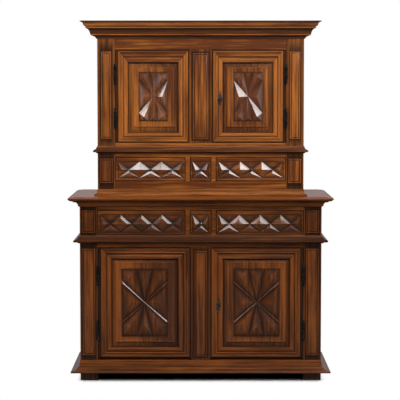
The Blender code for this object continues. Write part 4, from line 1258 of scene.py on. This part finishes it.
@dataclass
class Drawer:
    """A drawer: a front carved in diamond points, a pale box behind it and a turned knob."""

    plan: Plan
    place: str
    cells: int
    borders: Pair
    side_border: float = 0.011
    rise: float = 0.016
    crown: float = 1.0
    shoulder: float = 0.6
    sink: float = 0.003
    thickness: float = 0.022
    wall: float = 0.011
    floor: float = 0.009
    clear: float = 0.004

    def build(self) -> None:
        """Make the front, the box and the knob."""
        self.node, self.body = f"{self.plan.name}_drawer_{self.place}", f"{self.plan.name}_{self.place}_drawer"
        self.low, self.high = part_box(self.node)
        self.make_front()
        self.make_box()
        self.make_knob()

    def make_front(self) -> None:
        """A board with a sunk band in which spokes cross and pyramids rise between them.

        The band is cut into cells; the spokes of a cell cross in its middle, a diamond stands on every cut
        between two cells, half ones stand at the ends, and a small wedge stands on each long edge.
        """
        low, high, front = self.low, self.high, -self.plan.front
        rect = np.array((low.x, high.x, low.z, high.z))
        band = np.array((low.x + self.side_border, high.x - self.side_border,
                         low.z + self.borders[0], high.z - self.borders[1]))
        rects = np.concatenate((shrunk(rect, (0.0, 0.0, 0.0028, 0.0044)), shrunk(band, (0.0, 0.001))))
        levels = front + np.array((-self.thickness, -0.0034, -0.0006, 0.0, 0.0, 0.0006 - self.sink))
        # The front's sides and the sunk band's edge are darker: old wax and painted shade of the gap round the
        # drawer.
        grime_and_shade = np.array((0.0, 1.0, 0.7, 0.1, 0.2, 0.8))
        rings = rings_of(rects, levels)
        points, dirt_and_shade, triangles, ring, corners = self.diamonds(shrunk(band, (0.003,))[0],
                                                               front - self.sink, 4 * len(rings))
        local = np.concatenate((rings.reshape(-1, 3), points))
        faces = [tube_faces(len(rings), 4), np.array([[3, 2, 1, 0]]), triangles]
        faces += [np.array([face]) for face in ring_faces(np.arange(4) + 4 * (len(rings) - 1), ring, corners)]
        tone = np.concatenate((np.full(4 * len(rings), -0.45), np.full(len(points), -0.75)))
        dirt_and_shade = np.concatenate((np.repeat(grime_and_shade, 4), dirt_and_shade))
        shell = Shell(Facing.FRONT.world(local), faces, Grain.X, dirt_and_shade, tone)
        Piece(f"{self.node}_front_carved", self.body, self.plan.wood, [shell], (self.node,), crease=11.0).make()

    def diamonds(self, band: Array, level: float, first: int) -> tuple[Array, Array, Array, Array, Array]:
        """The carved band.

        Args:
            band: its low and high across and up values.
            level: level of the ground.
            first: number of its first point.

        Returns:
            Points, old wax and painted shade, triangles, numbers of the ring's points, and the places of its
            corners.
        """
        n, low, high = self.cells, band[2], band[3]
        cuts = np.linspace(band[0], band[1], n + 1)
        middles, middle, half = (cuts[1:] + cuts[:-1]) / 2, (low + high) / 2, (high - low) / 2
        hand = np.sin(np.arange(n) * 2.7 + low * 40.0) * 0.03

        def row(across: Array, up: float, out: Array | float) -> Array:
            """Points at one height."""
            return np.column_stack((across, np.full(len(across), up), np.full(len(across), level) + out))

        ends = np.array((cuts[0] + (cuts[1] - cuts[0]) * 0.16, cuts[-1] - (cuts[1] - cuts[0]) * 0.16))
        parts = [row(cuts, low, 0.0), row(cuts[::-1], high, 0.0), row(middles, middle, 0.0),
                 row(middles, low + half * 0.58, self.rise * (0.434 + hand)),
                 row(middles, high - half * 0.14, self.rise * (0.45 + hand)),
                 row(cuts[1:-1], middle + half * 0.02, self.rise * (1.0 + hand[1:])),
                 row(ends, middle, self.rise * 0.72)]
        corners = np.stack((parts[2][:-1], row(cuts[1:-1], low, 0.0), parts[2][1:], row(cuts[1:-1], high, 0.0)))
        steps = corners + (parts[5] - corners) * (1.0 - self.shoulder)
        steps[..., 2] += (steps[..., 2] - level) * (self.crown - 1.0)
        parts.append(steps.reshape(-1, 3))
        starts = np.cumsum([0] + [len(part) for part in parts]) + first
        cell, inner = np.arange(n), np.arange(n - 1)
        lower, upper = starts[0] + np.arange(n + 1), starts[1] + np.arange(n + 1)[::-1]
        cross, under, over = (start + cell for start in starts[2:5])
        peak = starts[5] + inner
        left, right = starts[6], starts[6] + 1
        around = (starts[7] + np.arange(4 * (n - 1))).reshape(4, n - 1)
        loop = [cross[:-1], lower[1:-1], cross[1:], upper[1:-1]]

        def fan(corners: list[Array], tip: Array) -> Array:
            """Triangles from each side of a loop of corners to its tip."""
            loop = zip(corners, corners[1:] + corners[:1])
            trios = (np.broadcast_arrays(first, last, tip) for first, last in loop)
            return np.concatenate([np.stack(trio, axis=-1).reshape(-1, 3) for trio in trios])

        triangles = np.concatenate((
            fan([lower[:-1], lower[1:], cross], under), fan([cross, upper[1:], upper[:-1]], over),
            fan(list(around), peak), *[np.stack(trio, axis=-1) for side in range(4) for trio in (
                (loop[side], loop[(side + 1) % 4], around[(side + 1) % 4]),
                (loop[side], around[(side + 1) % 4], around[side]))],
            fan([lower[0], cross[0], upper[0]], left), fan([cross[-1], lower[-1], upper[-1]], right)))
        # Edges and crossings are darker with old wax and painted shade; the diamonds lighter as wear and
        # painted highlight.
        grime_and_shade = np.repeat((0.5, 0.9, -0.2, -0.1), (2 * n + 2, n, 3 * n + 1, 4 * n - 4))
        return (np.concatenate(parts), grime_and_shade, triangles, np.arange(2 * n + 2) + first,
                np.array((0, n, n + 1, 2 * n + 1)))

    def make_box(self) -> None:
        """Sides, back and bottom of the box, in pale boards."""
        low, high, start = self.low, self.high, self.plan.front + self.thickness
        top = high.z - self.clear
        inner, outer = low.x + self.wall, high.x - self.wall
        shells = [box((low.x, start, low.z), (inner, high.y, top), Grain.Y),
                  box((outer, start, low.z), (high.x, high.y, top), Grain.Y),
                  box((inner, high.y - self.wall, low.z), (outer, high.y, top), Grain.X),
                  box((inner, start, low.z), (outer, high.y - self.wall, low.z + self.floor), Grain.X)]
        Piece(f"{self.node}_box", self.body, DRAWER_WOOD, shells).make()

    def make_knob(self) -> None:
        """A small round knob on a waisted stem with a collar."""
        node = f"{self.plan.name}_knob_{self.place}"
        low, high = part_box(node)
        length, radius = high.y - low.y, (high.x - low.x) / 2
        shape = Profile(radius * 0.42, -0.004).to(radius * 0.42, length * 0.16)
        shape.to(radius * 0.55, length * 0.20, -0.3)
        shape.to(radius * 0.42, length * 0.27, -0.3).to(radius * 0.45, length * 0.40, 0.1)
        shape.to(radius, length * 0.68, 0.16, steps=7).to(radius * 0.62, length * 0.95, -0.24, steps=7)
        shape.to(0.0003, length, -0.10)
        middle = ((low.x + high.x) / 2, high.y, (low.z + high.z) / 2)
        shell = turned(shape.array()[0], middle, Facing.FRONT)
        Piece(node + "_turned", self.body, BRONZE, [shell], (node,)).make()


@dataclass
class Hinge:
    """A barrel hinge: two turned halves with vase finials, and the thin leaves that go into the joint."""

    plan: Plan
    side: str
    level: str
    radius: float = 0.0075
    finial: float = 0.022
    knuckle: float = 0.037
    gap: float = 0.0003
    leaf_side: Pair = (0.0012, 0.0002)
    leaf_end: float = 0.003
    leaf_depth: Pair = (0.0052, 0.020)

    def build(self) -> None:
        """Make the half on the post and the half on the door."""
        name = f"{self.plan.name}_hinge_{self.side}_{self.level}"
        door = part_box(f"{name}_door_half")
        middle = ((door[0].x + door[1].x) / 2, door[0].y + self.radius, door[0].z)
        for half, body, way in (("door", f"{self.plan.name}_{self.side}_door", 1), ("post", "carcass", -1)):
            points = self.profile() * (1.0, way) - (0.0, self.gap * (way < 0))
            shells = [turned(points[::way], middle, Facing.TOP), self.leaf(middle, way)]
            Piece(f"{name}_{half}_half_turned", body, IRON, shells, (f"{name}_{half}_half",)).make()

    def profile(self) -> Array:
        """Radius and height from the joint to the finial's tip: collar, barrel, ring, neck, vase and button."""
        r, k, f = self.radius, self.knuckle, self.finial
        shape = Profile(r * 0.95, 0.0).to(r * 1.25, 0.0008).to(r * 1.25, 0.003).to(r * 1.16, 0.0036)
        shape.to(r * 1.16, k - 0.003).to(r * 1.25, k - 0.0024).to(r * 1.25, k).to(r * 0.80, k + f * 0.10, 0.1)
        shape.to(r * 1.16, k + f * 0.28, -0.25).to(r * 0.84, k + f * 0.44, -0.15)
        shape.to(r * 0.50, k + f * 0.55, 0.15)
        shape.to(r * 0.88, k + f * 0.78, -0.25).to(r * 0.52, k + f * 0.95, -0.25).to(0.0002, k + f, -0.1)
        return shape.array()[0]

    def leaf(self, middle: tuple, way: int) -> Shell:
        """The thin plate behind a barrel, on the door's or the post's side of the gap."""
        sign = SIDES[self.side]
        towards = -sign * way
        edges = sorted(middle[0] + towards * reach for reach in self.leaf_side)
        heights = sorted(middle[2] + way * end for end in (self.leaf_end, self.knuckle - self.leaf_end))
        start, end = middle[1] + self.leaf_depth[0], self.plan.front + self.leaf_depth[1]
        return box((edges[0], start, heights[0]), (edges[1], end, heights[1]), Grain.Z, arris=0.0002)


@dataclass
class Lock:
    """The key of a right door and the lozenge plate round its keyhole."""

    plan: Plan
    half: Pair = (0.0165, 0.047)
    hollow: float = 2.1
    hole: Pair = (0.0046, 0.0058)
    plate: float = 0.0014
    stand: float = 0.0052
    tilt: float = 0.06
    ring: float = 0.0095
    wire: Pair = (0.0022, 0.0018)

    def build(self) -> None:
        """Make the plate and the key."""
        node = f"{self.plan.name}_key"
        low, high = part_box(node)
        self.middle = np.array(((low.x + high.x) / 2, self.plan.front, low.z + self.ring + self.wire[0]))
        self.bow = low.y + self.ring + self.wire[0]
        door = f"{self.plan.name}_right_door"
        Piece(f"{self.plan.name}_keyhole_plate", door, PLATE_IRON, [self.plate_shell()]).make()
        Piece(f"{node}_forged", f"{self.plan.name}_lock_key", IRON, self.key_shells(), (node,)).make()

    def plate_shell(self, sides: int = 64) -> Shell:
        """A thin plate between a lozenge with hollow sides and an oval hole.

        The lozenge is (a cos^p, b sin^p) with the power p above 1; the plate leans with the band of the door
        that it lies on.
        """
        turn = np.linspace(0.0, 2.0 * np.pi, sides, endpoint=False)
        wave = np.stack((np.cos(turn), np.sin(turn)), axis=-1)
        outline = np.sign(wave) * np.abs(wave) ** self.hollow * self.half
        hole = wave * self.hole
        rings = np.stack((outline, outline * 0.985, outline * 0.94, hole * 1.12, hole, hole))
        levels = np.array((0.0, self.plate * 0.7, self.plate, self.plate, self.plate * 0.7, 0.0))
        local = np.concatenate((rings, np.repeat(levels[:, None, None], sides, axis=1)), axis=-1)
        local[..., 2] += self.stand + self.tilt * local[..., 0]
        faces = tube_faces(len(rings), sides, closed=True)
        return Shell(Facing.FRONT.world(local.reshape(-1, 3)) + self.middle, [faces])

    def key_shells(self) -> list[Shell]:
        """A ring bow with a swelling at its foot, and a shank with two collars that goes into the plate."""
        reach = self.plan.front - self.bow - self.ring
        shape = Profile(0.0032, -0.0030).to(0.0034, reach * 0.55).to(0.0048, reach * 0.60, -0.3)
        shape.to(0.0034, reach * 0.68, -0.3).to(0.0030, reach * 0.80).to(0.0044, reach * 0.86, -0.3)
        shape.to(0.0028, reach * 0.95, -0.3).to(0.0022, reach + 0.001)
        shank = turned(shape.array()[0], tuple(self.middle), Facing.FRONT, 20)
        turn, round_wire = np.meshgrid(np.linspace(0, 2 * np.pi, 40, endpoint=False),
                                       np.linspace(0, 2 * np.pi, 12, endpoint=False), indexing="ij")
        radius = self.ring + self.wire[0] * np.cos(round_wire)
        flat = self.wire[1] * np.sin(round_wire)
        local = np.stack((flat, radius * np.sin(turn), radius * np.cos(turn)), axis=-1)
        centre = (self.middle[0], self.bow, self.middle[2])
        bow = Shell(Facing.FRONT.world(local.reshape(-1, 3)) + centre, [tube_faces(40, 12, closed=True)])
        return [shank, bow]


@dataclass
class Studio:
    """Floor, light, backdrop and camera."""

    distance: float = 8.25
    height: float = 1.709
    tilt: float = 4.0
    lens: float = 127.3
    shift: Pair = (-0.0016, -0.0495)
    softbox: float = 22.0
    sheen: float = 18.0
    windows: tuple[tuple[tuple, Pair], ...] = (((-2.155, -2.245, 3.05), (0.60, 0.60)),
                                                ((1.91, -2.15, 3.07), (1.55, 0.85)))
    fill: float = 5.2
    strip: float = 1.6
    rear: float = 6.0
    floor_reach: float = 30.0
    dark: Colour = (0.03, 0.03, 0.03)
    backdrop: Colour = (0.85, 0.83, 0.85)
    ceiling: Colour = (0.20, 0.20, 0.20)
    glossy_room: Colour = (0.34, 0.32, 0.32)
    glossy_backdrop: Colour = (0.44, 0.45, 0.48)
    target: tuple[float, float, float] = (0.0, -0.2, 1.1)

    def build(self) -> None:
        """Set everything that isn't the object."""
        bpy.context.scene.view_settings.view_transform = "Standard"
        self.floor()
        self.world()
        for side in SIDES.values():
            softbox = self.light("softbox", Vector((side * 1.72, -2.45, 3.14)), (0.7, 0.7), self.softbox)
            softbox.visible_glossy = False
            self.light("side strip", Vector((side * 2.9, -2.3, 1.6)), (0.5, 2.2), self.strip)
            fill = self.light("side fill", Vector((side * 3.4, 1.3, 2.4)), (1.4, 1.4), self.rear)
            fill.visible_glossy = False
        for place, size in self.windows:
            self.light("sheen", Vector(place), size, self.sheen).visible_diffuse = False
        self.light("back fill", Vector((0.0, 4.2, 2.8)), (2.0, 2.0), self.rear).visible_glossy = False
        self.light("fill", Vector((0.0, -4.5, 4.0)), (3.0, 3.0), self.fill).visible_glossy = False
        self.camera()

    def floor(self) -> None:
        """A wide pale floor."""
        reach = self.floor_reach
        corners = [(-reach, -reach, 0.0), (reach, -reach, 0.0), (reach, reach, 0.0), (-reach, reach, 0.0)]
        mesh = bpy.data.meshes.new("studio_floor")
        mesh.from_pydata(corners, [], [(0, 1, 2, 3)])
        mesh.materials.append(PaleFloor().material())
        placed("studio_floor", mesh)

    def world(self) -> None:
        """White to the camera, with a pale backdrop, a grey ceiling and a dark room in front for other rays.

        Glossy rays see a grey room in front and a dimmed backdrop, which keeps the wax from glaring.
        """
        world = bpy.data.worlds.new("studio")
        bpy.context.scene.world = world
        world.use_nodes = True
        graph = Graph(world.node_tree)
        way = graph.node("ShaderNodeTexCoord", {}, {}, "Generated")
        depth, up = graph.part(way, 1), graph.part(way, 2)
        behind = depth.between(0.75, 0.95)
        room = graph.blend(self.dark, self.backdrop, behind)
        room = graph.blend(room, self.ceiling, up.between(0.35, 0.85))
        mirror = graph.node("ShaderNodeLightPath", {}, {}, "Is Glossy Ray")
        room = graph.blend(room, self.glossy_room, mirror * depth.between(-0.94, -0.76))
        room = graph.blend(room, self.glossy_backdrop, mirror * behind)
        colour = graph.blend(room, WHITE, graph.seen())
        surface = graph.node("ShaderNodeBackground", {}, {"Color": colour, "Strength": 1.0})
        graph.node("ShaderNodeOutputWorld", {}, {"Surface": surface})

    def light(self, name: str, place: Vector, size: Pair, radiance: float) -> bpy.types.Object:
        """A rectangular lamp that looks at the middle of the object; its power is pi times radiance and area.

        Args:
            name: name of the lamp.
            place: where it hangs.
            size: its width and height.
            radiance: how bright its face is.

        Returns:
            The lamp.
        """
        data = bpy.data.lights.new(name, "AREA")
        data.shape, (data.size, data.size_y) = "RECTANGLE", size
        data.energy = radiance * np.pi * size[0] * size[1]
        lamp = placed(name, data)
        lamp.location = place
        lamp.rotation_euler = (Vector(self.target) - place).to_track_quat("-Z", "Y").to_euler()
        return lamp

    def camera(self) -> None:
        """A long lens a little above the worktop, as in the photograph."""
        data = bpy.data.cameras.new("camera")
        data.lens, data.sensor_width = self.lens, 36.0
        data.shift_x, data.shift_y = self.shift
        data.clip_end = 100.0
        camera = placed("camera", data)
        camera.location = (0.0, -self.distance, self.height)
        camera.rotation_euler = (np.radians(90.0 - self.tilt), 0.0, 0.0)
        bpy.context.scene.camera = camera


@dataclass
class Body:
    """One of the two bodies.

    Args:
        plan: the body's places.
        carcass: its posts, sides, stile and back.
        star: the carving of its doors.
        bevels: widths of the slopes round a panel's field, on the outer, inner, low and high side.
        reveal: how far a panel's edges lie behind the frame, on the same sides.
        carving: how far out and up the carving's middle lies from the panel's.
        glows: lightness in the middle of the left and the right panel, and how much it grows outwards.
        members: lightness of the outer, inner, low and high member of the left and the right frame.
        cells: crosses on a long drawer.
        borders: plain wood under and over the carving of a drawer.
        points: height of each drawer's diamonds, and how much steeper they are near their edges.
        lean: how far the two doors' carvings differ by hand.
    """

    plan: Plan
    carcass: Carcass
    star: Star
    bevels: Edges
    reveal: Edges
    carving: Pair
    glows: tuple[Pair, Pair]
    members: tuple[Edges, Edges]
    cells: int
    borders: Pair
    points: dict[str, Pair]
    lean: float = 0.7

    def build(self) -> None:
        """Make the carcass, doors, hinges, drawers and lock, and dress the CAD nodes that show themselves."""
        plan = self.plan
        self.carcass.build()
        for (side, sign), glow, members in zip(SIDES.items(), self.glows, self.members):
            star = replace(self.star, lean=self.lean * sign)
            Door(plan, side, star, self.bevels, self.reveal, self.carving, glow, members).build()
            for level in ("bottom", "top"):
                Hinge(plan, side, level).build()
        for place, (rise, crown) in self.points.items():
            cells = 1 if place == "centre" else self.cells
            Drawer(plan, place, cells, self.borders, rise=rise, crown=crown).build()
        Lock(plan).build()
        for node, finish in (("drawer_frame", plan.rail_wood), ("bolt", IRON)):
            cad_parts[f"{plan.name}_{node}"].material_slots[0].material = finish.material()


def main() -> None:
    """Build the cupboard from the frame up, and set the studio."""
    logging.basicConfig(level=logging.INFO, format="%(message)s")
    lower = Plan.read("lower", BROWN, BROWN_RAIL)
    upper = Plan.read("upper", GOLDEN, GOLDEN_RAIL)
    Mouldings(lower, upper).build()
    Body(lower, Carcass(lower, block=(0.832, 0.984), margin=0.0135, post_tones=(0.2, -0.15), stile_tone=-0.35),
         Star(half=(0.131, 0.195), rise=0.017, side=0.60, edge=0.34, bar=0.058, side_point=0.62, end_point=0.66,
              kite_point=(0.66, 0.70), ridge=0.360, tone=-0.6),
         bevels=(0.018, 0.016, 0.026, 0.012), reveal=(0.0, 0.006, -0.006, 0.0), carving=(0.004, 0.0),
         glows=((0.0, 1.3), (-0.2, 0.25)), members=((0.25, -0.55, 0.2, -0.4), (0.25, 0.65, 0.2, -0.4)),
         cells=4, borders=(0.008, 0.024),
         points={"left": (0.0163, 1.45), "centre": (0.0205, 1.15), "right": (0.0205, 1.15)}).build()
    Body(upper, Carcass(upper, block=(1.113, 1.2752), margin=0.021),
         Star(half=(0.0825, 0.1405), rise=0.0155, side=0.66, edge=0.30, bar=0.0, side_point=0.62,
              end_point=0.84, kite_point=(0.62, 0.82)),
         bevels=(0.026, 0.020, 0.030, 0.022), reveal=(0.006, 0.006, 0.001, 0.019), carving=(0.0, -0.002),
         glows=((0.0, 0.85), (-0.35, 0.4)), members=((0.8, 0.55, 0.8, -0.6), (0.7, 0.4, 0.7, -0.6)),
         cells=3, borders=(0.015, 0.022),
         points=dict.fromkeys(("left", "centre", "right"), (0.019, 1.0))).build()
    Studio().build()


if __name__ == "__main__":
    main()
